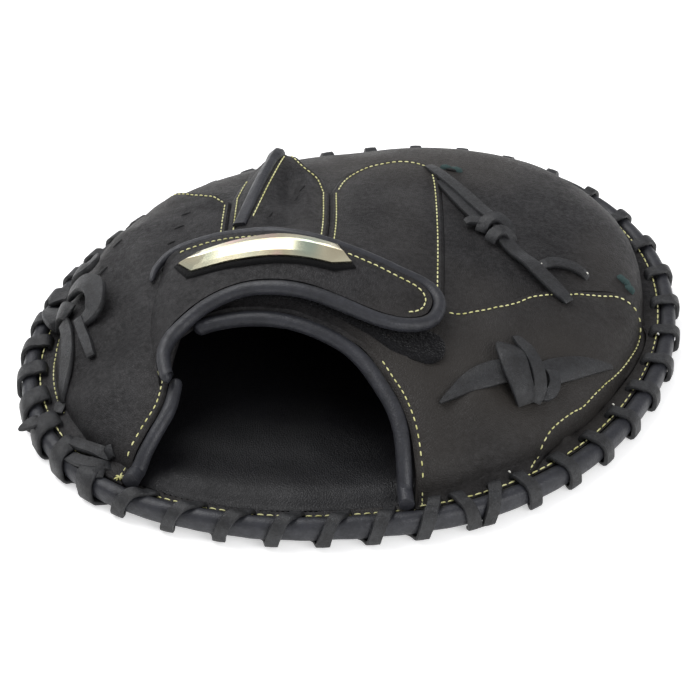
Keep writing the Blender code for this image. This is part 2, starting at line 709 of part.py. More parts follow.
def make_rim(leather, lace_leather):
    """The roll round the edge, and the lace wound round it."""
    inner = ROLL_START + ROLL_WIDTH
    cut = ROLL_CHAMFER
    profile = ((ROLL_START + cut, RIM_UNDERSIDE), (inner - cut, RIM_UNDERSIDE),
               (inner, RIM_UNDERSIDE + cut), (inner, ROLL_TOP - cut), (inner - cut, ROLL_TOP),
               (ROLL_START + cut, ROLL_TOP), (ROLL_START, ROLL_TOP - cut),
               (ROLL_START, RIM_UNDERSIDE + cut))
    rings = []
    for index in range(round(360 / RIM_STEP)):
        angle = index * RIM_STEP
        rings.append([(*rim_point(angle, inward), height) for inward, height in profile])
    loft("rim_roll", rings, leather, closed=True)
    for name, (start, step, count, lean) in LACE_RUNS.items():
        rows = []
        for index in range(count):
            rows += lace_wrap(start + step * index, step, lean)
        lace(name, rows, lace_leather)
    for name, (angle, lean) in CROSS_LACES.items():
        rows = lace_wrap(angle, lean, lean)[:-1]
        rows[0] = (angle, HOLE_CENTRE, RIM_UNDERSIDE + LACE_THICKNESS, 1.0, 0.0, 1.0)
        lace(name, rows, lace_leather)


def edge_roll(name, line, radius, surface, floor, paint):
    """Rolled binding on the right of a plan line: level with the panel's edge, clear of the floor."""
    path = []
    for index, point in enumerate(line):
        along = (line[min(index + 1, len(line) - 1)] - line[max(index - 1, 0)]).normalized()
        outward = Vector((along.y, -along.x))
        spot = point + outward * (radius + GAP)
        highest = max(floor(*(spot + outward * radius * side)) for side in (-1, -0.5, 0, 0.5, 1))
        height = max(surface(*point), highest + SEAT_GAP + radius)
        path.append(Vector((spot.x, spot.y, height)))
    return tube(name, path, radius, paint)


def make_mouth(leather):
    """The rolled edges of the wrist opening."""
    def middle(x, y):
        return (raised_height(x, y) + back_underside(x, y)) / 2

    def lining(x, y):
        return LINING_TOP

    arch = plan_line(ARCH_EDGE)[1:] + [rim_point(MOUTH_RIGHT, ROLL_END)]
    edge_roll("arch_binding", arch, ARCH_ROLL_RADIUS, middle, lining, leather)
    mouth = plan_line(MOUTH_ROLL)
    edge_roll("mouth_binding", [rim_point(MOUTH_LEFT, ROLL_END)] + mouth, MOUTH_ROLL_RADIUS,
              middle, lining, leather)


def make_strap(leather, roll_leather, fuzz):
    """The wrist strap with its rolled edge, and the fastener patch under its end."""
    front = plan_line(STRAP_FRONT)
    outline = joined(front, plan_line(STRAP_LEFT))
    sheet("wrist_strap", outline, strap_top, strap_underside, leather, STRAP_MESH)

    def middle(x, y):
        return (strap_top(x, y) + strap_underside(x, y)) / 2

    def panels(x, y):
        return back_height(x, y) + PANEL_RAISE

    edge_roll("strap_binding", front, STRAP_ROLL_RADIUS, middle, panels, roll_leather)
    sheet("loop_patch", joined(plan_line(PATCH_OUTLINE + PATCH_OUTLINE[:1])),
          lambda x, y: raised_height(x, y) + SEAT_GAP + PATCH_THICKNESS,
          lambda x, y: raised_height(x, y) + SEAT_GAP, fuzz, PANEL_MESH)


def on_badge(points, length, width):
    """Plan points of the badge from places along and across it."""
    turn = Matrix.Rotation(math.radians(BADGE_TURN), 2)
    centre = Vector(BADGE_CENTRE) * RIM_RADIUS
    return [centre + turn @ Vector((x * length / 2, y * width / 2)) for x, y in points]


def bar_steps():
    """Even steps along the bar between its two shoulders, as shares of its half-length."""
    return [BADGE_SHOULDER * (2 * index / BADGE_STEPS - 1) for index in range(BADGE_STEPS + 1)]


def bar_outline(length, width):
    """Long lozenge with blunt ends, turned onto the strap."""
    half = [(share, BADGE_TAPER * share ** 2 - 1.0) for share in bar_steps()]
    half.append((1.0, -BADGE_END))
    return on_badge(half + [(-x, -y) for x, y in half], length, width)


def make_badge(felt, metal):
    """The bar on the strap, on its felt pad."""
    middle = [on_badge([(share, 0.0) for share in bar_steps()], BADGE_LENGTH, BADGE_WIDTH)]
    border = 2 * BADGE_BORDER
    sheet("badge_backing", bar_outline(BADGE_LENGTH + border, BADGE_WIDTH + border),
          backing_top, backing_underside, felt, BADGE_LENGTH, creases=middle)
    sheet("strap_badge", bar_outline(BADGE_LENGTH, BADGE_WIDTH), badge_top, badge_underside,
          metal, BADGE_LENGTH, creases=middle)


def make_hood_strip(leather):
    """Leather strip sewn along the ridge of the hood."""
    ridge = [Vector(point) * RIM_RADIUS for point in HOOD_RIDGE]
    line = ridge[1] - ridge[0]
    across = Vector((-line.y, line.x)).normalized()
    start, end = HOOD_STRIP_SPAN
    rings = []
    for index in range(HOOD_STRIP_STEPS + 1):
        place = ridge[0] + line * (start + (end - start) * index / HOOD_STRIP_STEPS)
        ring = []
        for side, rise in ((1, 0), (0, 0), (-1, 0), (-1, 1), (0, 1), (1, 1)):
            spot = place + across * side * HOOD_STRIP_WIDTH / 2
            height = hood_height(spot.x, spot.y) + TIE_GAP + rise * HOOD_STRIP_THICKNESS
            ring.append((spot.x, spot.y, height))
        rings.append(ring)
    loft("hood_binding", rings, leather)


def main():
    for old in list(bpy.data.objects):
        bpy.data.objects.remove(old, do_unlink=True)
    leather = material("charcoal leather", (0.040, 0.039, 0.040), 0.50)
    trim = material("slate roll leather", (0.060, 0.062, 0.070), 0.42)
    lace_leather = material("rawhide lace", (0.045, 0.046, 0.048), 0.50)
    lining = material("black lining leather", (0.012, 0.012, 0.016), 0.45)
    fuzz = material("black loop pile", (0.010, 0.010, 0.011), 0.95)
    felt = material("black felt", (0.012, 0.012, 0.013), 0.95)
    metal = material("pale gold film", (0.75, 0.68, 0.52), 0.28, 0.9)
    make_palm(leather, lining)
    make_panels(leather)
    make_rim(trim, lace_leather)
    make_mouth(trim)
    make_strap(leather, trim, fuzz)
    make_badge(felt, metal)
    make_hood_strip(trim)
    tie("thumb_tie", THUMB_TIE, raised_height, lace_leather)
    tie("web_tie", WEB_TIE, web_height, lace_leather)
    tie("web_loop", WEB_LOOP, back_height, lace_leather)
    tie("pinky_tie", PINKY_TIE, raised_height, lace_leather)
    tie("corner_knot", CORNER_KNOT, raised_height, lace_leather)


main()
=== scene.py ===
import math

import bpy
import numpy as np
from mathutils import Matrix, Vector, kdtree, noise
from mathutils.geometry import delaunay_2d_cdt


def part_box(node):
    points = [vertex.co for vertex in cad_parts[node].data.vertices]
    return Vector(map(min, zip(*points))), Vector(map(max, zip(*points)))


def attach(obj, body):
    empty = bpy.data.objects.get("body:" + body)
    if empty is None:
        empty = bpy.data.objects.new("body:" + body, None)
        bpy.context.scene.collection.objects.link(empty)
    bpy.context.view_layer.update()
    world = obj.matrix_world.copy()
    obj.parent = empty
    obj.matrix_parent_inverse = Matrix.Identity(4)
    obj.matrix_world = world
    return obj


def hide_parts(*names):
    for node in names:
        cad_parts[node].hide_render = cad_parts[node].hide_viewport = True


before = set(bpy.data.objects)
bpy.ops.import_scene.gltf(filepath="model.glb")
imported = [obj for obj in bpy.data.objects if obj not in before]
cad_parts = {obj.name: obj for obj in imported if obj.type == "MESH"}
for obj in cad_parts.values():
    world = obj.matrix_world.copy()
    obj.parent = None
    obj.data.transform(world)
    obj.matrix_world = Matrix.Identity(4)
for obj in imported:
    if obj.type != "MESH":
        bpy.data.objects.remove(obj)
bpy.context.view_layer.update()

# Camera: a studio product view from the wrist side, 38 degrees above the table, through a long
# portrait lens that keeps the round glove from looking stretched.
TARGET = Vector((-0.0025, -0.0245, 0.0140))
DISTANCE = 0.93
ELEVATION = math.radians(38)
camera = bpy.data.objects.new("camera", bpy.data.cameras.new("camera"))
camera.data.lens = 120
camera.data.sensor_width = 36
camera.data.clip_start = 0.05
camera.location = TARGET + DISTANCE * Vector((0, -math.cos(ELEVATION), math.sin(ELEVATION)))
camera.rotation_euler = (math.radians(90) - ELEVATION, 0, 0)
bpy.context.scene.collection.objects.link(camera)
bpy.context.scene.camera = camera

# Palm: one padded piece of cowhide under the whole glove, about 27 cm across. The lace is threaded
# through holes punched in its edge. Chrome-tanned, drum-dyed charcoal and left without a top coat,
# so it looks matt, a little mottled, and shows its grain only where light grazes it.
RIM = 0.135
RIM_SHARES = np.array((0.982, 1.032, 1.052, 1.015, 0.941, 0.893, 0.881, 0.907,
                       0.978, 1.052, 1.065, 0.995, 0.938, 0.930, 0.930, 0.944))
GAP = 0.0003
ROLL_START = 0.0021
ROLL_WIDTH = 0.0063
SHEET_START = ROLL_START + ROLL_WIDTH + GAP
HOLE_CENTRE = SHEET_START + 0.0028
HOLE_SIZE = (0.0058, 0.0027)
WELT_END = HOLE_CENTRE + 0.0025
PALM_SLOPE = 0.022
ROLL_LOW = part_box("rim_roll")[0].z
ROLL_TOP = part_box("rim_roll")[1].z
LINING_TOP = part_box("palm_lining")[1].z
# First hole, step, number of holes and lean of each run of lace round the rim, in degrees
LACE_RUNS = {"heel_lace": (284.6, -8.45, 7, -3.2), "thumb_lace": (301.5, 9.05, 22, 1.2),
             "finger_lace": (143.0, 7.4, 8, 0.6), "corner_lace": (202.0, 7.0, 4, 1.6)}
CROSS_LACES = {"cross_lace_left": (288.6, 2.0), "cross_lace_right": (296.6, -3.4)}


def srgb(code):
    """A colour as sRGB hex, turned linear."""
    values = [int(code[k:k + 2], 16) / 255 for k in (1, 3, 5)]
    return (*(v / 12.92 if v <= 0.04045 else ((v + 0.055) / 1.055) ** 2.4 for v in values), 1.0)


def add_node(material, kind, inputs, **settings):
    """Adds a node with its settings; each input is a value or another node's output."""
    made = material.node_tree.nodes.new(kind)
    for key, value in settings.items():
        setattr(made, key, value)
    for key, value in inputs.items():
        if isinstance(value, bpy.types.NodeSocket):
            material.node_tree.links.new(value, made.inputs[key])
        else:
            made.inputs[key].default_value = value
    return made


def new_material(name, **sockets):
    """A material whose shader has these constant sockets."""
    made = bpy.data.materials.new(name)
    made.use_nodes = True
    shader = made.node_tree.nodes["Principled BSDF"]
    for key, value in sockets.items():
        shader.inputs[key.replace("_", " ")].default_value = value
    return made


def drive(material, socket, output):
    """Links a node's output to a socket of the material's shader."""
    shader = material.node_tree.nodes["Principled BSDF"]
    material.node_tree.links.new(output, shader.inputs[socket])


def place_on(material):
    """Where on the piece, in metres, a pattern is looked up."""
    return add_node(material, "ShaderNodeTexCoord", {}).outputs["Object"]


def noise_of(material, size, detail=2.0, roughness=0.5):
    """Soft noise with its hills about a size apart, in metres."""
    return add_node(material, "ShaderNodeTexNoise", {"Vector": place_on(material), "Scale": 1 / size,
                                                     "Detail": detail, "Roughness": roughness})


def fit(material, value, low, high, first=0.0, last=1.0):
    """A pattern's value between low and high turned into one between first and last."""
    made = add_node(material, "ShaderNodeMapRange", {"Value": value, "From Min": low, "From Max": high,
                                                     "To Min": first, "To Max": last})
    return made.outputs[0]


def tint(material, share, first, second):
    """Colours the material between two colours by a share."""
    made = add_node(material, "ShaderNodeMix", {"Factor": share, 6: first, 7: second},
                    data_type="RGBA")
    drive(material, "Base Color", made.outputs[2])
    return made.outputs[2]


def emboss(material, height, strength, distance):
    """Raises the material's surface by a pattern, up to a distance in metres."""
    made = add_node(material, "ShaderNodeBump", {"Height": height, "Strength": strength,
                                                 "Distance": distance})
    drive(material, "Normal", made.outputs[0])


def leather(name, dark, light, roughness, grain, depth, patches=0.030, gloss=0.5, rubbed=None):
    """Grain leather: mottled dye, pebbled grain of a size in metres, duller and shinier patches and,
    over wide areas, the warmer tint of rubbed leather."""
    made = new_material(name, IOR=1.48, Specular_IOR_Level=gloss)
    mottle = noise_of(made, patches, 4.0, 0.62)
    fine = noise_of(made, grain / 0.6, 3.0, 0.6)
    both = add_node(made, "ShaderNodeMath", {0: mottle.outputs["Fac"], 1: fine.outputs["Fac"]},
                    operation="ADD")
    dye = tint(made, fit(made, both.outputs[0], 0.80, 1.22), srgb(dark), srgb(light))
    if rubbed:
        wide = noise_of(made, 0.110)
        tint(made, fit(made, wide.outputs["Fac"], 0.45, 0.68), dye, srgb(rubbed))
    dull = fit(made, both.outputs[0], 0.75, 1.25, roughness + 0.09, roughness - 0.07)
    drive(made, "Roughness", dull)
    bent = add_node(made, "ShaderNodeVectorMath", {0: fine.outputs["Color"], "Scale": grain * 0.5},
                    operation="SCALE")
    moved_spot = add_node(made, "ShaderNodeVectorMath", {0: place_on(made), 1: bent.outputs[0]},
                          operation="ADD")
    cells = add_node(made, "ShaderNodeTexVoronoi",
                     {"Vector": moved_spot.outputs[0], "Scale": 1 / grain},
                     feature="DISTANCE_TO_EDGE")
    pebble = fit(made, cells.outputs["Distance"], 0.0, 0.22)
    height = add_node(made, "ShaderNodeMath", {0: mottle.outputs["Fac"], 1: 2.5, 2: pebble},
                      operation="MULTIPLY_ADD")
    emboss(made, height.outputs[0], 0.55, depth)
    return made


def place(piece, slot, *nodes):
    """Rides the piece on the glove and puts it in the place of its solids; the slot is not used."""
    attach(piece, "root")
    if nodes:
        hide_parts(*nodes)
    return piece


def mesh_piece(name, vertices, faces, material, sharp=40):
    """A smooth-shaded mesh object, creased where its faces meet at more than the sharp angle."""
    mesh = bpy.data.meshes.new(name)
    mesh.from_pydata([tuple(v) for v in vertices], [], faces)
    mesh.materials.append(material)
    mesh.shade_smooth()
    mesh.set_sharp_from_angle(angle=math.radians(sharp))
    piece = bpy.data.objects.new(name, mesh)
    bpy.context.scene.collection.objects.link(piece)
    return piece


def curve(before, start, end, after, part):
    """A place between start and end on a smooth line through four rows."""
    return 0.5 * (2 * start + (end - before) * part
                  + (2 * before - 5 * start + 4 * end - after) * part ** 2
                  + (3 * start - before - 3 * end + after) * part ** 3)


def around(table, angle):
    """Value at angles in degrees on a smooth closed line through a table of even steps."""
    turn = np.asarray(angle, float) / 360 * len(table)
    index = np.floor(turn).astype(int)
    return curve(*(table[(index + k) % len(table)] for k in (-1, 0, 1, 2)), turn - index)


def rim_radius(angle):
    """Distance of the rim line from the middle at angles in degrees, counter-clockwise from +X."""
    return RIM * around(RIM_SHARES, angle)


def rim_point(angle, inward):
    turn = np.radians(angle)
    radius = rim_radius(angle) - inward
    return np.stack([radius * np.cos(turn), radius * np.sin(turn)], axis=-1)


def rim_line(start, end, inward, step=1.0):
    if end < start:
        end += 360
    return rim_point(np.linspace(start, end, max(2, round((end - start) / step) + 1)), inward)


def rim_direction(angle):
    """Direction along the rim, counter-clockwise."""
    way = rim_point(angle + 1, HOLE_CENTRE) - rim_point(angle - 1, HOLE_CENTRE)
    return way / np.linalg.norm(way)


def inset(x, y):
    """Distance of plan places inwards from the rim line."""
    return rim_radius(np.degrees(np.arctan2(y, x))) - np.hypot(x, y)


def smooth(value, low, high):
    share = np.clip((value - low) / (high - low), 0, 1)
    return share * share * (3 - 2 * share)


def moved(line, distance):
    """A closed counter-clockwise outline moved inwards."""
    way = unit(np.roll(line, -1, axis=0) - np.roll(line, 1, axis=0))
    return line + distance * np.stack([-way[:, 1], way[:, 0]], axis=1)


def unit(rows):
    """The rows as vectors of length 1."""
    return rows / np.linalg.norm(rows, axis=1)[:, None]


def reach(line):
    """How far along a line each of its rows is, in metres."""
    return np.concatenate([[0], np.cumsum(np.linalg.norm(np.diff(line, axis=0), axis=1))])


def inside(points, outline):
    """Which plan points lie inside a closed outline."""
    start, end = np.roll(outline, 1, axis=0), outline
    x, y = points[:, :1], points[:, 1:2]
    crosses = (start[:, 1] > y) != (end[:, 1] > y)
    rise = np.where(end[:, 1] == start[:, 1], 1e-12, end[:, 1] - start[:, 1])
    at = start[:, 0] + (y - start[:, 1]) / rise * (end[:, 0] - start[:, 0])
    return (crosses & (x < at)).sum(axis=1) % 2 == 1


def distance_to(points, line, closed=True):
    """Distance of each plan point to a line."""
    start, end = (np.roll(line, 1, axis=0), line) if closed else (line[:-1], line[1:])
    way = end - start
    length = np.maximum((way ** 2).sum(axis=1), 1e-14)
    nearest = np.full(len(points), 1.0)
    for first in range(0, len(points), 2000):
        block = points[first:first + 2000, None, :] - start
        share = np.clip((block * way).sum(axis=2) / length, 0, 1)
        nearest[first:first + 2000] = np.linalg.norm(block - share[..., None] * way,
                                                     axis=2).min(axis=1)
    return nearest


def lace_holes():
    """Slots punched for the lace, each as long as the lace is wide."""
    angles = [start + step * k for start, step, count, _ in LACE_RUNS.values()
              for k in range(count)] + [angle for angle, _ in CROSS_LACES.values()]
    holes = []
    for angle in angles:
        along = rim_direction(angle)
        outward = np.array([along[1], -along[0]])
        ring = np.linspace(0, -2 * np.pi, 12, endpoint=False)
        shape = [np.sign(np.cos(ring)) * abs(np.cos(ring)) ** 0.5 * HOLE_SIZE[0] / 2,
                 np.sign(np.sin(ring)) * abs(np.sin(ring)) ** 0.7 * HOLE_SIZE[1] / 2]
        holes.append(rim_point(angle, HOLE_CENTRE) + np.outer(shape[0], along)
                     - np.outer(shape[1], outward))
    return holes


def sheet(name, outline, top, bottom, material, spacing=0.0026,
          rings=(0.0005, 0.0012, 0.0022, 0.0032, 0.0045), lines=(), holes=()):
    """A piece of leather cut to a plan outline; top and bottom give its heights from x, y and the
    distance to its edge. The facets are finer along its edge, on rings at these distances inwards,
    and along the given lines."""
    off_outline, off_hole, apart = 0.0007, 0.0008, 0.0006
    loops = [outline] + [hole for hole in holes if inside(hole[:1], outline)[0]]
    points = np.vstack(loops)
    edges = []
    first = 0
    for loop in loops:
        edges += [(first + k, first + (k + 1) % len(loop)) for k in range(len(loop))]
        first += len(loop)
    rows = [row[distance_to(row, outline) > 0.85 * far]
            for far, row in ((far, moved(outline, far)) for far in rings)]
    rows += [line[distance_to(line, outline) > off_outline] for line in lines]
    count = math.ceil(RIM * RIM_SHARES.max() / spacing)
    grid = np.array([((a + 0.5 * (b % 2)) * spacing, b * spacing * math.sqrt(0.75))
                     for b in range(-count - 10, count + 10) for a in range(-count, count)])
    rows.append(grid[distance_to(grid, outline) > (rings[-1] if rings else 0) + 0.5 * spacing])
    kept = list(points)
    for row, least in zip(rows, [apart] * (len(rows) - 1) + [0.6 * spacing]):
        row = row[inside(row, outline)]
        for hole in loops[1:]:
            row = row[distance_to(row, hole) > off_hole]
            row = row[~inside(row, hole)]
        tree = kdtree.KDTree(len(kept))
        for k, point in enumerate(kept):
            tree.insert((*point, 0), k)
        tree.balance()
        kept += [point for point in row if tree.find((*point, 0))[2] > least]
    flat, _, triangles, _, _, _ = delaunay_2d_cdt([Vector(p) for p in kept], edges, [], 0, 1e-7)
    flat = np.array(flat)
    triangles = np.array([tuple(t) for t in triangles])
    middles = flat[triangles].mean(axis=1)
    good = inside(middles, outline)
    for hole in loops[1:]:
        good &= ~inside(middles, hole)
    triangles = triangles[good]
    edge = distance_to(flat, outline)
    x, y = flat.T
    upper = np.column_stack([x, y, top(x, y, edge)])
    lower = np.column_stack([x, y, bottom(x, y, edge)])
    count = len(flat)
    directed = {(a, b) for t in triangles.tolist() for a, b in zip(t, t[1:] + t[:1])}
    faces = triangles.tolist() + (triangles[:, ::-1] + count).tolist()
    faces += [(b, a, a + count, b + count) for a, b in directed if (b, a) not in directed]
    return mesh_piece(name, np.vstack([upper, lower]), faces, material)


def unevenness(x, y, size, depth, seed=0.0):
    """Soft hills and hollows of worked leather."""
    return depth * np.array([noise.fractal(Vector((a / size, b / size, seed)), 0.9, 2.0, 3)
                             for a, b in zip(x, y)])


def palm_bottom(x, y, edge):
    depth = inset(x, y) - WELT_END
    pad = ROLL_LOW * (1 - np.clip(depth / PALM_SLOPE, 0, 1))
    return pad + 0.0006 * (1 - smooth(edge, 0, 0.0012))


def palm_top(x, y, edge):
    return LINING_TOP - 0.0015 * smooth(inset(x, y), WELT_END, WELT_END + 0.0008)


panel_leather = leather("charcoal_cowhide", "#121112", "#2a292a", 0.55, 0.0011,
                        0.00022, gloss=0.27, rubbed="#2b2825")
punched = lace_holes()
palm = sheet("palm_leather", rim_line(0, 360, SHEET_START)[:-1], palm_top, palm_bottom,
             panel_leather, spacing=0.006, holes=punched,
             lines=[rim_line(0, 360, WELT_END), rim_line(0, 360, WELT_END + 0.0009),
                    rim_line(0, 360, WELT_END + PALM_SLOPE)])
place(palm, "leather", "palm_panel")

# Palm lining: a softer hide glued over the palm's padding, the floor that is seen through the
# wrist opening. It swells just inside the rim, and hands have rubbed it to a faint shine there.
lining_leather = leather("black_lining_hide", "#070709", "#0e0e11", 0.44, 0.0009, 0.00012, gloss=0.34)


def lining_top(x, y, edge):
    swell = 0.0026 * smooth(edge, 0.0008, 0.0080) - 0.0020 * smooth(edge, 0.0085, 0.0300)
    return LINING_TOP + swell + unevenness(x, y, 0.030, 0.0007)


def lining_bottom(x, y, edge):
    return np.full(len(x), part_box("palm_lining")[0].z)


lining = sheet("lining_floor", rim_line(0, 360, WELT_END + 0.0002)[:-1], lining_top, lining_bottom,
               lining_leather, spacing=0.004)
place(lining, "lining", "palm_lining")

# Back of the glove: panels of the same cowhide, cut along the seams and stitched over a padded
# border, so that they stand up in one low dome with a hollow for the hand. The little-finger,
# hood, index and thumb panels lie on top of the shell, and their cut edges show.
BACK_UNDERSIDE = LINING_TOP + GAP
FLANGE_TOP = BACK_UNDERSIDE + 0.0020
FLANGE_WIDTH = 0.016
DOME_RISE, DOME_POWER = 0.034, 2.4
DOME_LIPS = np.array((0.50, 0.40, 0.40, 0.46, 0.50, 0.44, 0.36, 0.34,
                      0.42, 0.55, 0.55, 0.55, 0.55, 0.55, 0.55, 0.55))
FLANGE_SHARES = np.array((0.97, 0.90, 0.88, 0.94, 1.00, 0.94, 0.87, 0.87,
                          0.92, 1.00, 1.00, 1.00, 1.00, 1.00, 1.00, 1.00))
HAND_RISE, HAND_CENTRE, HAND_SPREAD = 0.012, (-0.185, -0.222), (0.333, 0.407)
SHELL = 0.0023
PANEL_RAISE = 0.0015
GROOVE_INSET = 0.0030
HAND_SPACES = (((-0.185, -0.333), (0.430, 0.444)), ((-0.185, 0.222), (0.459, 0.500)),
               ((0.259, -0.444), (0.333, 0.185)), ((-0.207, -0.667), (0.459, 0.333)))
MOUTH_LEFT, MOUTH_RIGHT, THUMB_SEAM_END, PINKY_SEAM_END = 229.2, 280.6, 304.8, 137.3
MOUTH_CORNER, STRAP_LEFT_JOINT, STRAP_MIDDLE_JOINT = (-500, -345), (-390, -200), (-100, -245)
THUMB_JOINT, PINKY_JOINT, INDEX_JOINT = (250, -270), (-380, 280), (-80, 300)
MOUTH_ROLL = [(-628, -705), (-583, -650), (-543, -588), (-527, -520), (-523, -475)]
MOUTH_EDGE = MOUTH_ROLL[:-1] + [(-518, -430), MOUTH_CORNER]
ARCH_EDGE = [MOUTH_CORNER, (-430, -320), (-275, -340), (-120, -385), (8, -452), (90, -556),
             (142, -668), (162, -770)]
STRAP_SEAM = [STRAP_LEFT_JOINT, (-250, -215), STRAP_MIDDLE_JOINT]
THUMB_TOP_SEAM = [STRAP_MIDDLE_JOINT, (80, -280), THUMB_JOINT]
FINGER_SEAM = [STRAP_LEFT_JOINT, (-385, 50), PINKY_JOINT]
INDEX_SEAM = [STRAP_MIDDLE_JOINT, (-80, 50), INDEX_JOINT]
HOOD_EDGE = [PINKY_JOINT, (-355, 390), (-310, 490), (-250, 563), (-195, 535), (-150, 460),
             (-103, 395), INDEX_JOINT]
INDEX_EDGE = [INDEX_JOINT, (-45, 415), (30, 510), (135, 555), (225, 520), (258, 430), (262, 100),
              THUMB_JOINT]
PINKY_EDGE = [PINKY_JOINT, (-430, 345), (-490, 395), (-560, 465), (-598, 520)]
THUMB_EDGE = [THUMB_JOINT, (300, -262), (415, -206), (535, -134), (690, -63), (796, -20),
              (864, -52), (852, -149), (785, -298), (668, -474), (575, -572), (520, -650)]
HOOD_RIDGE = ((-355, 60), (-248, 515))
HOOD_RISE, HOOD_LEFT_WIDTH, HOOD_RIGHT_WIDTH, HOOD_FOLD = 0.0085, 0.011, 0.026, 0.0045


def smooth_line(points, step):
    """Places about a step apart on a smooth line through the given rows; x, y and, where a row has
    it, z come first, and its other columns go along."""
    points = np.asarray(points, float)
    ends = np.vstack([2 * points[0] - points[1], points, 2 * points[-1] - points[-2]])
    line = []
    for k in range(len(points) - 1):
        count = max(1, round(np.linalg.norm((points[k + 1] - points[k])[:3]) / step))
        line += [curve(*ends[k:k + 4], part) for part in np.arange(count) / count]
    return np.array(line + [points[-1]])


def plan(places):
    """Plan places in thousandths of the rim radius, turned into metres."""
    return np.array(places) / 1000 * RIM


def plan_line(places, step=0.0018):
    return smooth_line(plan(places), step)


def joined(*lines):
    """One closed outline from lines that follow each other."""
    outline = []
    for line in lines:
        for point in np.atleast_2d(line):
            if not outline or np.linalg.norm(point - outline[-1]) > 0.0004:
                outline.append(point)
    if np.linalg.norm(outline[0] - outline[-1]) < 0.0004:
        outline.pop()
    return np.array(outline)


def back_height(x, y):
    """The dome: a flat flange at the rim, a steep lip, and a rise over the hand."""
    angle = np.degrees(np.arctan2(y, x))
    dome_radius = rim_radius(angle) - FLANGE_WIDTH * around(FLANGE_SHARES, angle)
    share = np.minimum(np.hypot(x, y) / dome_radius, 1)
    height = FLANGE_TOP + DOME_RISE * (1 - share ** DOME_POWER) ** around(DOME_LIPS, angle)
    across = (x / RIM - HAND_CENTRE[0]) / HAND_SPREAD[0]
    along = (y / RIM - HAND_CENTRE[1]) / HAND_SPREAD[1]
    return height + HAND_RISE * np.exp(-across ** 2 - along ** 2) * np.clip(1.4 * (1 - share), 0, 1)


def hand_space(x, y):
    """1 over the hollow for the hand, 0 over the padded border."""
    closed = 1.0
    for middle, half in HAND_SPACES:
        reach = np.hypot((x / RIM - middle[0]) / half[0], (y / RIM - middle[1]) / half[1])
        closed = closed * smooth(reach, 0.80, 1.12)
    return 1 - closed


def back_underside(x, y, edge=None):
    step = 0.001
    slope = np.hypot(back_height(x + step, y) - back_height(x - step, y),
                     back_height(x, y + step) - back_height(x, y - step)) / (2 * step)
    ceiling = back_height(x, y) - SHELL * np.sqrt(1 + slope ** 2)
    return BACK_UNDERSIDE + np.maximum(ceiling - BACK_UNDERSIDE, 0) * hand_space(x, y)


def raised(x, y):
    """Leather that lies on top of the shell, level with it again on the flange."""
    return back_height(x, y) + PANEL_RAISE * smooth(inset(x, y), WELT_END, WELT_END + 0.005)


def hood_lift(x, y):
    """The hood stands up along a ridge, steep on its left and gentle on its right."""
    foot, peak = plan(HOOD_RIDGE)
    line = peak - foot
    length = np.linalg.norm(line)
    along = ((x - foot[0]) * line[0] + (y - foot[1]) * line[1]) / length ** 2
    across = ((y - foot[1]) * line[0] - (x - foot[0]) * line[1]) / length
    side = np.clip(1 - abs(across) / np.where(across > 0, HOOD_LEFT_WIDTH, HOOD_RIGHT_WIDTH), 0, 1)
    climb = smooth(along, -0.10, 0.95) * (1 - smooth(along, 1.00, 1.16))
    return HOOD_RISE * climb * side


def folded(x, y, swellings):
    """Soft round swellings and dents, each with its plan place, half widths and height."""
    return sum(rise * np.exp(-((x / RIM - middle[0]) / half[0]) ** 2
                             - ((y / RIM - middle[1]) / half[1]) ** 2)
               for middle, half, rise in swellings)


def edge_form(edge):
    """Rounded cut edge, the groove that the stitches pull in, and the leather swelling past it."""
    return (-0.0011 * (1 - np.clip(edge / 0.0012, 0, 1)) ** 2
            - 0.0004 * np.exp(-((edge - GROOVE_INSET) / 0.0009) ** 2)
            + 0.0005 * smooth(edge, 0.0035, 0.0120))


def shell_top(x, y, edge):
    return back_height(x, y) + unevenness(x, y, 0.045, 0.0007)


def pinky_top(x, y, edge):
    folds = folded(x, y, [((-0.70, -0.10), (0.05, 0.40), -0.0016),
                           ((-0.60, -0.30), (0.05, 0.30), 0.0012),
                           ((-0.74, -0.50), (0.07, 0.06), 0.0014),
                           ((-0.66, -0.56), (0.04, 0.09), -0.0012)])
    return raised(x, y) + edge_form(edge) + folds + unevenness(x, y, 0.028, 0.0015, 3.0)


def hood_top(x, y, edge):
    folds = folded(x, y, [((-0.205, 0.290), (0.034, 0.100), -0.0044),
                           ((-0.215, 0.080), (0.050, 0.040), -0.0026),
                           ((-0.145, 0.230), (0.034, 0.150), 0.0020)])
    return raised(x, y) + hood_lift(x, y) + edge_form(edge) + folds * smooth(edge, 0.002, 0.008)


def index_top(x, y, edge):
    return raised(x, y) + edge_form(edge) + unevenness(x, y, 0.045, 0.0006, 5.0)


def thumb_top(x, y, edge):
    folds = folded(x, y, [((0.365, -0.600), (0.080, 0.085), 0.0030),
                           ((0.480, -0.540), (0.100, 0.050), -0.0018),
                           ((0.440, -0.400), (0.160, 0.090), -0.0010),
                           ((0.250, -0.640), (0.050, 0.060), -0.0014),
                           ((0.620, -0.480), (0.120, 0.040), -0.0010)])
    return raised(x, y) + edge_form(edge) + folds + unevenness(x, y, 0.026, 0.0015, 7.0)


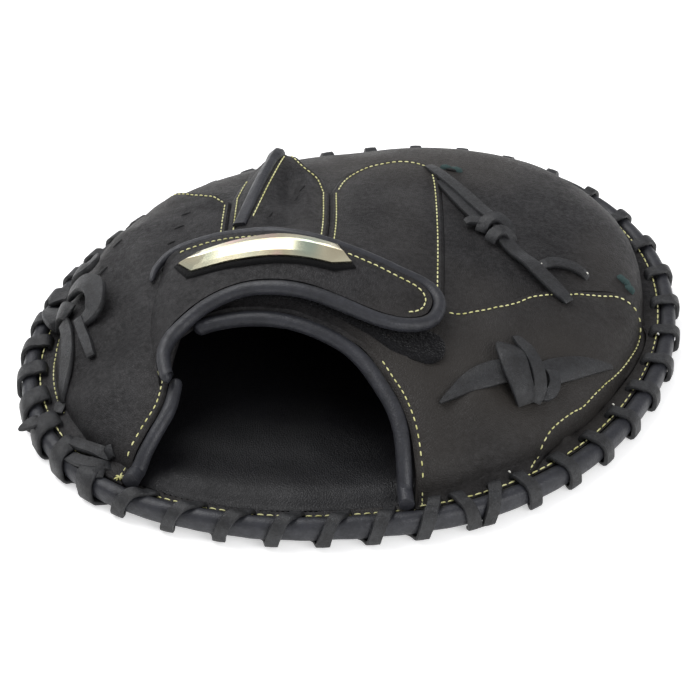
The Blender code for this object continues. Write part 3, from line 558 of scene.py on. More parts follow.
mouth = joined(rim_point(MOUTH_LEFT, SHEET_START), plan_line(MOUTH_EDGE))
arch = joined(plan_line(ARCH_EDGE), rim_point(MOUTH_RIGHT, SHEET_START))
corner_seam = plan_line([MOUTH_CORNER, STRAP_LEFT_JOINT])
strap_seam, thumb_top_seam = plan_line(STRAP_SEAM), plan_line(THUMB_TOP_SEAM)
finger_seam, index_seam = plan_line(FINGER_SEAM), plan_line(INDEX_SEAM)
hood_edge, index_edge = plan_line(HOOD_EDGE), plan_line(INDEX_EDGE)
pinky_edge = joined(plan_line(PINKY_EDGE), rim_point(PINKY_SEAM_END, SHEET_START))
thumb_edge = joined(plan_line(THUMB_EDGE), rim_point(THUMB_SEAM_END, SHEET_START))
panels = {
    "pinky_panel": (joined(rim_line(PINKY_SEAM_END, MOUTH_LEFT, SHEET_START), mouth, corner_seam,
                           finger_seam, pinky_edge), pinky_top),
    "finger_hood": (joined(strap_seam, index_seam, hood_edge[::-1], finger_seam[::-1]), hood_top),
    "index_panel": (joined(thumb_top_seam, index_edge[::-1], index_seam[::-1]), index_top),
    "thumb_panel": (joined(arch, rim_line(MOUTH_RIGHT, THUMB_SEAM_END, SHEET_START),
                           thumb_edge[::-1], thumb_top_seam[::-1], strap_seam[::-1],
                           corner_seam[::-1]), thumb_top),
    "back_shell": (joined(rim_line(THUMB_SEAM_END, PINKY_SEAM_END, SHEET_START), pinky_edge[::-1],
                          hood_edge, index_edge, thumb_edge), shell_top),
}
# Lines of finer facets along the lip of the dome and the ridge of the hood
round_turns = np.arange(361.0)
lip = [rim_point(round_turns, FLANGE_WIDTH * around(FLANGE_SHARES, round_turns) + far)
       for far in (-0.001, 0, 0.0005, 0.0014, 0.003, 0.005)]
ridge_line = plan_line(HOOD_RIDGE, 0.0010)
ridge_way = (ridge_line[-1] - ridge_line[0]) / np.linalg.norm(ridge_line[-1] - ridge_line[0])
ridge_side = np.array([-ridge_way[1], ridge_way[0]])
ridge_lines = [ridge_line + ridge_side * far for far in (0, 0.0042, -0.0042, 0.0055, -0.0055)]


def hood_bottom(x, y, edge):
    return back_underside(x, y) + np.maximum(hood_lift(x, y) - HOOD_FOLD, 0) * hand_space(x, y)


for node, (outline, top) in panels.items():
    hood = node == "finger_hood"
    piece = sheet(node.replace("panel", "leather") + "_skin", moved(outline, 0.0001), top,
                  hood_bottom if hood else back_underside, panel_leather, holes=punched,
                  lines=lip + (ridge_lines if hood else []))
    place(piece, "leather", node)

# Stitches: bonded polyester thread, pale yellow, lockstitched by machine at about nine stitches to
# the inch. Each one is a short round bead of thread that dives into the leather at both ends.
thread = new_material("bonded_polyester_thread", Roughness=0.55, IOR=1.55)
# Soiling over some 8 mm, and the twist of the thread, 0.4 mm apart
soiling = fit(thread, noise_of(thread, 0.008, 3.0).outputs[0], 0.35, 0.65)
tint(thread, soiling, srgb("#b9b673"), srgb("#e2e0a8"))
emboss(thread, noise_of(thread, 0.0004).outputs[0], 0.5, 0.0001)


def along_line(line, step):
    """Places and directions every step along a line, starting half a step in."""
    ways = unit(np.diff(line, axis=0))
    reached = reach(line)
    marks = np.arange(step / 2, reached[-1], step)
    places = np.column_stack([np.interp(marks, reached, line[:, k]) for k in range(line.shape[1])])
    index = np.clip(np.searchsorted(reached, marks) - 1, 0, len(ways) - 1)
    return places, ways[index]


def tube_faces(count, sides, first=0, closed=False):
    """Faces between rings of equal length that follow each other, and flat ends if it isn't closed."""
    faces = []
    for ring in range(count if closed else count - 1):
        step = sides if ring < count - 1 else (1 - count) * sides
        for side in range(sides):
            a, b = first + ring * sides + side, first + ring * sides + (side + 1) % sides
            faces.append((a, b, b + step, a + step))
    if not closed:
        faces.append(tuple(range(first + sides - 1, first - 1, -1)))
        faces.append(tuple(range(first + (count - 1) * sides, first + count * sides)))
    return faces


def beads(name, places, ways, normals, length, radius, material, dive=0.45):
    """Short rounded strokes lying on a surface, their ends sunk into it."""
    sides, rings = 6, ((-1.0, 0.25), (-0.72, 0.85), (0.0, 1.0), (0.72, 0.85), (1.0, 0.25))
    vertices, faces = [], []
    for spot, way, normal in zip(places, ways, normals):
        across = np.cross(way, normal)
        first = len(vertices)
        for share, size in rings:
            centre = spot + way * share * length / 2 + normal * radius * (0.6 - dive * 2 * share ** 4)
            vertices += [centre + radius * size * (across * math.cos(turn) + normal * math.sin(turn))
                         for turn in np.arange(sides) * 2 * math.pi / sides]
        faces += tube_faces(len(rings), sides, first)
    return mesh_piece(name, vertices, faces, material, sharp=80)


def normals_of(top, x, y):
    """Normals of a surface given by its height."""
    step = 0.0006
    edge = np.full(len(x), GROOVE_INSET)
    fall_x = (top(x - step, y, edge) - top(x + step, y, edge)) / (2 * step)
    fall_y = (top(x, y - step, edge) - top(x, y + step, edge)) / (2 * step)
    return unit(np.column_stack([fall_x, fall_y, np.ones(len(x))]))


def stitches(name, line, top, pitch=0.0027, length=0.0020, radius=0.00032,
             from_edge=GROOVE_INSET):
    """A row of stitches on a height surface, along a plan line."""
    spots, ways = along_line(line, pitch)
    x, y = spots.T
    edge = np.full(len(x), from_edge)
    height = top(x, y, edge)
    step = 0.0008
    before = top(*(spots - ways * step).T, edge)
    after = top(*(spots + ways * step).T, edge)
    ways = unit(np.column_stack([ways, (after - before) / (2 * step)]))
    piece = beads(name, np.column_stack([spots, height]), ways, normals_of(top, x, y), length,
                  radius, thread)
    return place(piece, "leather")


def part_of(line, start, end):
    """The stretch of a line between two shares of its rows."""
    return line[round(start * (len(line) - 1)):round(end * (len(line) - 1)) + 1]


def beside(line, distance):
    """An open plan line moved to its left."""
    way = unit(np.gradient(line, axis=0))
    return line + distance * np.stack([-way[:, 1], way[:, 0]], axis=1)


def strokes(name, pairs, top, radius, material, lift=0.0):
    """Single strokes on a height surface, each between two plan places."""
    rows = plan(pairs)
    middles, ways = rows.mean(axis=1), rows[:, 1] - rows[:, 0]
    edge = np.full(len(rows), 0.02)
    heights = [top(*spots.T, edge) + lift for spots in (rows[:, 0], middles, rows[:, 1])]
    ways = np.column_stack([ways, heights[2] - heights[0]])
    lengths = np.linalg.norm(ways, axis=1)
    pieces = [beads(f"{name}_{k}", [np.array((*middles[k], heights[1][k]))], [ways[k] / lengths[k]],
                    normals_of(top, *middles[k][:, None]), lengths[k], radius, material)
              for k in range(len(rows))]
    for piece in pieces:
        place(piece, "leather")


SEAM_INSET = 0.0026
hood_left = joined(part_of(finger_seam, 0.40, 1.0), part_of(hood_edge, 0.0, 0.16))
hood_right = joined(part_of(index_seam, 0.2, 1.0), part_of(hood_edge[::-1], 0.0, 0.42))
for name, line, side, top in (("thumb_seam", part_of(thumb_edge, 0.01, 1.0), -1, thumb_top),
                              ("index_seam", part_of(index_edge, 0.02, 0.98), -1, index_top),
                              ("index_side", part_of(index_seam, 0.2, 1.0), -1, index_top),
                              ("hood_right", hood_right, 1, hood_top),
                              ("pinky_seam", part_of(pinky_edge, 0.05, 0.93), 1, pinky_top),
                              ("pinky_side", part_of(finger_seam, 0.4, 0.98), 1, pinky_top),
                              ("mouth", part_of(mouth, 0.0, 0.93), 1, pinky_top),
                              ("arch", part_of(arch, 0.66, 1.0), 1, thumb_top)):
    stitches(name + "_stitches", beside(line, side * SEAM_INSET), top)
stitches("pinky_rim_stitches", rim_line(176, 208, 0.0150), pinky_top, from_edge=0.006)
stitches("pinky_top_stitches", rim_line(143, 160, 0.0165), pinky_top, from_edge=0.006)
stitches("hood_left_stitches", beside(hood_left, -SEAM_INSET), hood_top, pitch=0.0024)
stitches("hood_strip_stitches", part_of(ridge_line, 0.16, 0.97) - ridge_side * 0.0042, hood_top,
         pitch=0.0024, from_edge=0.012)
strokes("bar_tack", [((-247, -60), (-243, -20)), ((-239, -60), (-235, -20))],
        hood_top, 0.0004, thread)
strokes("mouth_tack", [((-672, -742), (-640, -728)), ((-668, -728), (-645, -742)),
                       ((-655, -745), (-652, -722)), ((-560, -475), (-545, -505)),
                       ((-541, -470), (-545, -505))], pinky_top, 0.0004, thread)

# Awl slits: short cuts in the panels where the hidden finger-stall laces pass through, pulled a little
# open so that they read as dark ticks. Each is a near-black stroke on the leather: painted shade that
# stands in for the shade inside the open slit.
slit_shade = new_material("painted_slit_shade", Roughness=0.8, Base_Color=srgb("#0b0b0c"))
# Raw fibres 0.5 mm apart
emboss(slit_shade, noise_of(slit_shade, 0.0005).outputs[0], 0.8, 0.0003)
strokes("pinky_slit", [((-535, 238), (-500, 250)), ((-550, 160), (-516, 172)),
                       ((-566, 72), (-538, 86)), ((-712, 300), (-688, 340)),
                       ((-738, 150), (-710, 196)), ((-766, 18), (-744, 60))],
        pinky_top, 0.0005, slit_shade, lift=-0.0002)
strokes("hood_slit", [((-262, 112), (-250, 140)), ((-186, 226), (-176, 260)),
                      ((-172, 280), (-156, 306))], hood_top, 0.0005, slit_shade,
        lift=-0.0002)

# Raw holes: where the dye ran thin round two holes in the shell, the tanned hide shows through in
# a dull blue-green, rough with loose fibres.
raw_hide = new_material("blue_green_tanned_hide", Roughness=0.9, Base_Color=srgb("#2c403f"))
# Fibres 0.7 mm apart, drawn coarser than real so that they still show
emboss(raw_hide, noise_of(raw_hide, 0.0007, 3.0).outputs[0], 1.0, 0.0005)
strokes("raw_hole", [((262, 520), (302, 506)), ((292, 506), (336, 488)),
                     ((782, 60), (806, 44)), ((794, 56), (822, 36)),
                     ((804, 34), (834, 26))],
        shell_top, 0.0016, raw_hide, lift=-0.0007)
# Painted shade: a near-black stroke in the middle of each raw hole stands in for the shade inside the
# hole.
strokes("raw_hole_slit", [((282, 500), (316, 488)), ((800, 46), (818, 40))],
        shell_top, 0.0006, slit_shade, lift=0.0003)
# Painted highlights: small pale beads, set a little above the shell, that paint the white glints at the
# edges of lace holes
glint_paint = new_material("painted_glint_pale", Roughness=0.4, Base_Color=srgb("#c9c8bf"))
strokes("hole_edge_glint", [((898, -88), (904, -94)), ((735, -418), (741, -426)),
                     ((420, -716), (427, -722))], shell_top, 0.0004, glint_paint, lift=0.0022)
# Painted highlights: pale beads that paint the glints at both ends of the web loop
strokes("loop_end_glint", [((545, -8), (552, -3)), ((684, 4), (690, -2))],
        shell_top, 0.0004, glint_paint, lift=0.0012)


def flange_top(x, y, edge):
    """Top of the leather beside the roll, whichever piece it is."""
    turn = np.degrees(np.arctan2(y, x)) % 360
    return np.where((turn > MOUTH_LEFT) & (turn < MOUTH_RIGHT), LINING_TOP, FLANGE_TOP)


stitches("rim_stitches", rim_line(MOUTH_RIGHT - 1, MOUTH_LEFT, SHEET_START + 0.0009), flange_top,
         pitch=0.0036, length=0.0029)
stitches("mouth_rim_stitches", rim_line(MOUTH_LEFT + 2, MOUTH_RIGHT - 3, SHEET_START + 0.0024),
         flange_top, pitch=0.0036, length=0.0026)

# Rim roll: a long strip of smoother slate-grey leather rolled round a cord and laid against the
# edges of the palm and the back. The lace squeezes it at each turn and it swells between them.
roll_leather = leather("slate_roll_leather", "#202125", "#2d2e33", 0.44, 0.0014, 0.00009,
                       patches=0.020, gloss=0.40)
UP = (0.0, 0.0, 1.0)
# The lowest that a lace or roll may come to the table
TABLE_GAP = 0.0001


def band(name, path, normals, widths, thicknesses, material, closed=False):
    """A flat strap swept along a path: at each place its outer side faces the normal."""
    section = np.array([(1, 0.45), (0.90, 0.95), (0, 1.08), (-0.90, 0.95), (-1, 0.45),
                        (-1, -0.45), (-0.90, -0.95), (0, -1), (0.90, -0.95), (1, -0.45)])
    return sweep(name, path, normals, section, widths, thicknesses, material, closed)


def sweep(name, path, normals, section, widths, heights, material, closed=False, sharp=50):
    """A section swept along a path. Its first column runs across, its second along the normal."""
    if closed:
        ways = np.roll(path, -1, axis=0) - np.roll(path, 1, axis=0)
    else:
        ways = np.gradient(path, axis=0)
    ways = unit(ways)
    across = unit(np.cross(ways, normals))
    upward = np.cross(across, ways)
    widths = np.broadcast_to(widths, len(path)) / 2
    heights = np.broadcast_to(heights, len(path)) / 2
    rings = (path[:, None, :] + across[:, None, :] * (section[:, 0] * widths[:, None])[..., None]
             + upward[:, None, :] * (section[:, 1] * heights[:, None])[..., None])
    rings[..., 2] = np.maximum(rings[..., 2], TABLE_GAP)
    faces = [(face[0], *face[:0:-1]) for face in tube_faces(len(path), len(section), closed=closed)]
    return mesh_piece(name, rings.reshape(-1, 3), faces, material, sharp)


ROUND = np.column_stack([np.cos(np.arange(18) * 2 * np.pi / 18),
                         np.sin(np.arange(18) * 2 * np.pi / 18)])
turns = np.arange(0, 360, 0.75)
crossings = np.array([start + step * k + 0.5 * lean for start, step, count, lean
                      in LACE_RUNS.values() for k in range(count)]) % 360
apart = abs((turns[:, None] - crossings + 180) % 360 - 180).min(axis=1)
squeeze = 1 + 0.05 * smooth(apart, 0.8, 3.0)
roll_path = np.column_stack([rim_point(turns, ROLL_START + ROLL_WIDTH / 2 + 0.0003),
                             np.full(len(turns), (ROLL_LOW + ROLL_TOP) / 2)])
squarer = np.sign(ROUND) * abs(ROUND) ** 0.86
roll = sweep("rim_roll_leather", roll_path, UP, squarer,
             (ROLL_WIDTH + 0.0005) * squeeze, (ROLL_TOP - ROLL_LOW) * squeeze, roll_leather,
             closed=True)
place(roll, "roll", "rim_roll")

# Lace: a flat thong of oiled rawhide, 5 mm wide, drawn up through each hole, over the roll and
# back under the rim. It is stiff, dark and slightly shiny, with fibrous cut sides.
LACE_WIDTH, LACE_THICKNESS = 0.0052, 0.0018
LACE_LOW = 0.0002 + LACE_THICKNESS / 2
lace_leather = leather("oiled_rawhide_lace", "#181819", "#27282a", 0.48, 0.0008, 0.00014,
                       patches=0.008, gloss=0.42)


def lace_turn(angle, step, lean):
    """Rows of angle, distance inwards, height, and the way the outer face looks, inwards and up."""
    off = GAP + LACE_THICKNESS / 2
    inner = ROLL_START + ROLL_WIDTH
    across_mouth = MOUTH_LEFT < angle % 360 < MOUTH_RIGHT
    hole_top = (LINING_TOP if across_mouth else FLANGE_TOP) + off
    return [(angle, HOLE_CENTRE, LACE_LOW, 0.7, -0.7), (angle, HOLE_CENTRE + 0.0003, 0.0055, 1, 0),
            (angle, HOLE_CENTRE, hole_top, 0.7, 0.7),
            (angle + 0.14 * lean, inner + 0.0004, hole_top + 0.0010, 0.45, 0.9),
            (angle + 0.30 * lean, inner - 0.0020, ROLL_TOP + off, 0.25, 1),
            (angle + 0.52 * lean, ROLL_START + 0.0018, ROLL_TOP + off, -0.25, 1),
            (angle + 0.75 * lean, ROLL_START - off + 0.0004, ROLL_TOP - 0.0016, -0.9, 0.4),
            (angle + 0.95 * lean, ROLL_START - off, 0.0050, -1, 0),
            (angle + 1.02 * lean, ROLL_START - off + 0.0003, 0.0026, -0.95, -0.3),
            (angle + lean + 0.05 * step, ROLL_START + 0.0012, LACE_LOW, -0.3, -0.95),
            (angle + lean + 0.2 * step, inner - 0.001, LACE_LOW, 0, -1)]


def lace_piece(name, rows, node, width=LACE_WIDTH):
    """Lace through rows as lace_turn gives them."""
    table = []
    for angle, inward, height, face_in, face_up in rows:
        along = rim_direction(angle)
        face = (-along[1] * face_in, along[0] * face_in, face_up)
        table.append((*rim_point(angle, inward), height, *face))
    table = smooth_line(table, 0.0011)
    table[:, 2] = np.maximum(table[:, 2], LACE_LOW)
    count = len(table)
    wobble = 1 + 0.05 * np.sin(np.arange(count) * 0.37) + 0.03 * np.sin(np.arange(count) * 0.11)
    piece = band(name, table[:, :3], table[:, 3:6], width * wobble, LACE_THICKNESS,
                 lace_leather)
    return place(piece, "lace", node)


# The lace spreads flatter where it is drawn hard round the little-finger side
spread = {"finger_lace": 0.0066, "corner_lace": 0.0078}
for node, (start, step, count, lean) in LACE_RUNS.items():
    rows = [row for k in range(count) for row in lace_turn(start + step * k, step, lean)]
    lace_piece(node + "_thong", rows, node, spread.get(node, LACE_WIDTH))
for node, (angle, lean) in CROSS_LACES.items():
    lace_piece(node + "_thong", lace_turn(angle, lean, lean)[1:-1], node)

# Wrist opening: both its edges are bound with the slate leather, rolled over the panel's cut edge
# and stitched down. The right-hand roll arches over the wrist and ends in a rounded stub.
ARCH_RADIUS, MOUTH_RADIUS, STRAP_RADIUS = 0.0030, 0.0025, 0.0028


def rolled_edge(name, line, radius, surface, floor, slot, node, slim=((0, 1), (1, 1)), blunt=None):
    """A roll on the right of a plan line, level with the panel's edge and clear of the floor; slim
    gives its size at shares of its length, and blunt is the end that isn't rounded off."""
    way = unit(np.gradient(line, axis=0))
    outward = np.stack([way[:, 1], -way[:, 0]], axis=1)
    reached = reach(line)
    size = np.interp(reached / reached[-1], *np.transpose(slim))
    spots = line + outward * (radius * size + 0.0001)[:, None]
    lowest = np.max([floor(*(spots + outward * radius * side).T) for side in (-1, 0, 1)], axis=0)
    height = np.maximum(surface(*line.T), lowest + 0.0004 + radius * size)
    kernel = np.ones(5) / 5
    height[2:-2] = np.convolve(height, kernel, "valid")
    path = np.column_stack([spots, height])
    from_start = np.full(len(path), radius) if blunt == "start" else reached
    from_end = np.minimum(from_start, radius if blunt == "end" else reached[-1] - reached)
    size *= np.sqrt(np.clip(1 - (1 - np.clip(from_end / radius, 0, 1)) ** 2, 0.05, 1))
    size *= 1 + 0.02 * np.sin(reached / 0.011) + 0.015 * np.sin(reached / 0.0037)
    piece = sweep(name, path, UP, ROUND, 2 * radius * size,
                  2 * radius * size, roll_leather, sharp=70)
    return place(piece, slot, node)


def panel_middle(x, y):
    return (raised(x, y) + back_underside(x, y)) / 2


def over_lining(x, y):
    return np.full(len(x), LINING_TOP + 0.0012)


arch_end, mouth_start = rim_point(MOUTH_RIGHT, SHEET_START), rim_point(MOUTH_LEFT, SHEET_START)
arch_line = smooth_line([*plan(ARCH_EDGE[:-1]), arch_end], 0.0010)[5:]
rolled_edge("arch_roll", arch_line, ARCH_RADIUS, panel_middle, over_lining, "roll", "arch_binding",
            blunt="end")
mouth_line = smooth_line([mouth_start, *plan(MOUTH_ROLL)], 0.0010)
rolled_edge("mouth_roll", part_of(mouth_line, 0, 0.92), MOUTH_RADIUS, panel_middle, over_lining,
            "roll", "mouth_binding", slim=((0, 1.35), (0.3, 1.1), (1, 1)), blunt="start")

# Wrist strap: two layers of cowhide over thin felt, folded round the little-finger side and
# closed over the thumb side. A roll of slate leather is sewn along its free edges.
STRAP_FRONT = [(-553, -520), (-563, -440), (-530, -365), (-455, -312), (-340, -295), (-230, -310),
               (-120, -335), (-20, -365), (70, -388), (140, -388), (195, -360), (215, -300),
               (185, -250), (110, -222), (20, -193), (-80, -163), (-200, -123), (-320, -75),
               (-430, -33), (-520, -25), (-572, -70)]
STRAP_LEFT = [(-572, -70), (-592, -200), (-590, -360), (-553, -520)]
STRAP_TIP = 215
STRAP_THICKNESS = 0.0036
STRAP_GAP = 0.0006
strap_front = plan_line(STRAP_FRONT, 0.0015)
strap_left = plan_line(STRAP_LEFT, 0.0015)


def strap_low(x, y, edge=None):
    start, end = plan([STRAP_LEFT[1][0], STRAP_TIP])
    share = (x - start) / (end - start)
    lift = 0.0020 * smooth(share, 0.05, 0.30) + 0.0030 * np.sin(np.pi * np.clip(share, 0, 1))
    return back_height(x, y) + PANEL_RAISE + STRAP_GAP + lift


def strap_top(x, y, edge):
    fold = np.clip(1 - distance_to(np.column_stack([x, y]), strap_left, closed=False) / 0.006, 0, 1)
    groove = 0.0004 * np.exp(-((edge - SEAM_INSET) / 0.0008) ** 2)
    return (strap_low(x, y) + STRAP_THICKNESS - 0.0060 * (1 - np.sqrt(1 - 0.98 * fold ** 2)) - groove
            + 0.0006 * smooth(edge, 0.003, 0.010) + unevenness(x, y, 0.030, 0.0005, 11.0))


def strap_plain(x, y):
    return strap_low(x, y) + STRAP_THICKNESS / 2


def strap_floor(x, y):
    return back_height(x, y) + PANEL_RAISE


strap_outline = joined(strap_front, strap_left)
strap = sheet("strap_leather", strap_outline, strap_top, strap_low, panel_leather,
              spacing=0.0022)
place(strap, "leather", "wrist_strap")
roll_line = plan_line([(-517, -552), (-537, -548)] + STRAP_FRONT + [(-590, -130)], 0.0015)
rolled_edge("strap_roll", roll_line, STRAP_RADIUS, strap_plain, strap_floor, "roll",
            "strap_binding", slim=((0, 0.9), (0.08, 1), (0.5, 1), (0.62, 0.74), (0.93, 0.70), (1, 0.4)))
stitches("strap_far_stitches", beside(part_of(strap_front, 0.46, 0.97), SEAM_INSET), strap_top,
         pitch=0.0026)

# Fastener patch: black hook-and-loop pile sewn to the thumb side, its edge showing under the strap.
# The loops are nylon and crushed, so it looks like dull black crumbs.
PATCH_OUTLINE = [(-440, -285), (-300, -300), (-150, -335), (0, -400), (110, -470), (200, -490),
                 (245, -455), (235, -395), (130, -350), (0, -310), (-200, -250), (-400, -235)]
pile = new_material("nylon_loop_pile", Roughness=0.85, Sheen_Weight=0.06,
                    Specular_IOR_Level=0.2)
# Loops 0.9 mm apart
loops = add_node(pile, "ShaderNodeTexVoronoi", {"Vector": place_on(pile), "Scale": 1 / 0.0009})
tint(pile, loops.outputs["Distance"], srgb("#121215"), srgb("#030304"))
emboss(pile, loops.outputs["Distance"], 1.0, 0.0008)


def patch_top(x, y, edge):
    return raised(x, y) + 0.0020 - 0.0008 * (1 - smooth(edge, 0, 0.0012)) + unevenness(
        x, y, 0.0018, 0.0007, 2.0)


def patch_bottom(x, y, edge):
    return raised(x, y) + 0.0003


patch = sheet("pile_patch", joined(plan_line(PATCH_OUTLINE + PATCH_OUTLINE[:1])), patch_top,
              patch_bottom, pile, spacing=0.0009, rings=(0.0006,))
place(patch, "pile", "loop_patch")

# Strap badge: a long faceted bar of ABS under a vacuum-metallised pale gold film, on a pad of black
# felt. The film bends the room's light into faint green, gold and pink along the bar.
BADGE_CENTRE, BADGE_TURN = plan((-265, -192)), math.radians(-12)
BADGE_LENGTH, BADGE_WIDTH = 0.070, 0.0120
film = new_material("metallised_film_on_abs", Metallic=0.95, Roughness=0.20)
# The tint changes slowly along the bar, over some 22 mm
film_wave = noise_of(film, 0.022, 1.5, 0.4)
film_tint = add_node(film, "ShaderNodeValToRGB", {"Fac": film_wave.outputs["Fac"]})
stops = ((0.30, "#adb9a6"), (0.42, "#d6cfb2"), (0.50, "#cbc1a4"), (0.60, "#dcb8ae"), (0.72, "#b6bccb"))
for _ in stops[2:]:
    film_tint.color_ramp.elements.new(0.5)
for stop, (share, colour) in zip(film_tint.color_ramp.elements, stops):
    stop.position = share
    stop.color = srgb(colour)
drive(film, "Base Color", film_tint.outputs["Color"])
felt = new_material("pressed_wool_felt", Roughness=0.95, Base_Color=srgb("#050506"),
                    Sheen_Weight=0.05, Specular_IOR_Level=0.2)
# Fibres 0.6 mm apart
emboss(felt, noise_of(felt, 0.0006, 4.0).outputs[0], 1.0, 0.0005)


def badge_ring(grow, taper=0.2, shoulder=0.80, end=0.25):
    """Outline of the bar, moved out by grow, as places along and across it in metres."""
    half = [(share, taper * share ** 2 - 1) for share in np.linspace(-shoulder, shoulder, 21)]
    half.append((1.0, -end))
    ring = np.array(half + [(-a, -b) for a, b in half])
    return ring * (BADGE_LENGTH / 2 + grow, BADGE_WIDTH / 2 + grow)


def badge_spots(ring, lift):
    """Those places on the strap, a lift above its leather."""
    turn = np.array([[math.cos(BADGE_TURN), -math.sin(BADGE_TURN)],
                     [math.sin(BADGE_TURN), math.cos(BADGE_TURN)]])
    spots = BADGE_CENTRE + ring @ turn.T
    return np.column_stack([spots, strap_low(*spots.T) + STRAP_THICKNESS + lift])


def stacked(name, rings, material, sharp):
    """A solid through rings of equal length, closed at both ends."""
    faces = tube_faces(len(rings), len(rings[0]))
    return mesh_piece(name, np.vstack(rings), faces, material, sharp=sharp)


# How far the rings of each are moved out, and their heights above the strap's leather
BACKING_RINGS = ((0.0017, 0.0005), (0.0019, 0.0013), (0.0014, 0.0020), (0.0002, 0.0021))
BAR_RINGS = ((-0.0002, 0.0022), (0, 0.0030), (-0.0016, 0.0040))
CREST_HEIGHT = 0.0052
backing = stacked("felt_backing", [badge_spots(badge_ring(grow), lift) for grow, lift in BACKING_RINGS],
                  felt, 60)
place(backing, "felt", "badge_backing")
bar_rings = [badge_spots(badge_ring(grow), lift) for grow, lift in BAR_RINGS]
crest = badge_spots(badge_ring(0) * (0.90, 0.10), CREST_HEIGHT)
badge = stacked("faceted_bar", bar_rings + [crest], film, 12)
place(badge, "badge", "strap_badge")

# Hood strip: a narrow strip of slate leather sewn over the ridge of the finger hood, a row of
# stitches beside it. At the peak it widens and is turned under, which leaves a soft round end.
STRIP_WIDTH, STRIP_THICKNESS = 0.0055, 0.0013

strip_rows = []
ridge_foot, ridge_length = ridge_line[0], np.linalg.norm(ridge_line[-1] - ridge_line[0])
for share in np.linspace(0.06, 1.05, 44):
    turned = smooth(share, 0.82, 0.98)
    half_width = (STRIP_WIDTH + 0.0020 * turned) / 2 * math.sqrt(1 - smooth(share, 0.98, 1.08) ** 2)
    side = np.append(np.linspace(1, -1, 9), (-1, 0, 1))
    rise = STRIP_THICKNESS * np.sqrt(np.clip(1 - side ** 8, 0.1, 1)) * (1 + 0.6 * turned)
    rise[9:] = -0.0002
    x, y = (ridge_foot + ridge_way * share * ridge_length + ridge_side * side[:, None] * half_width).T
    strip_rows.append(np.column_stack([x, y, raised(x, y) + hood_lift(x, y) + 0.0004 + rise]))
strip = stacked("hood_strip", strip_rows, roll_leather, 60)
place(strip, "roll", "hood_binding")

# Knotted ties: the same rawhide lace, or tongues cut from the panel, knotted by hand where a run of
# lace ends. Each part of a knot is a band of its own that lies on the leather or on the last one.


def tie_band(name, rows, surface=raised, node=None):
    """A band through rows of x, y in thousandths of the rim radius, and height above the leather,
    width and thickness in mm."""
    rows = np.array(rows) / 1000
    rows[:, :2] *= RIM
    table = smooth_line(rows, 0.0012)
    x, y = table[:, 0], table[:, 1]
    path = np.column_stack([x, y, surface(x, y) + table[:, 2] + table[:, 4] / 2])
    ways = unit(np.gradient(path, axis=0))
    slope = normals_of(lambda a, b, edge: surface(a, b), x, y)
    upward = unit(slope - (slope * ways).sum(axis=1)[:, None] * ways)
    reached = reach(path)
    from_end = np.minimum(reached, reached[-1] - reached)
    ends = np.clip(from_end / 0.0008, 0.35, 1)
    piece = band(name, path, upward, table[:, 3], table[:, 4] * ends, lace_leather)
    return place(piece, "lace", *([node] if node else []))


def web_base(x, y):
    """The shell and, beyond its seam, the thumb panel that lies on it."""
    return back_height(x, y) + PANEL_RAISE * (1 - smooth(y / RIM, -0.04, 0.03))


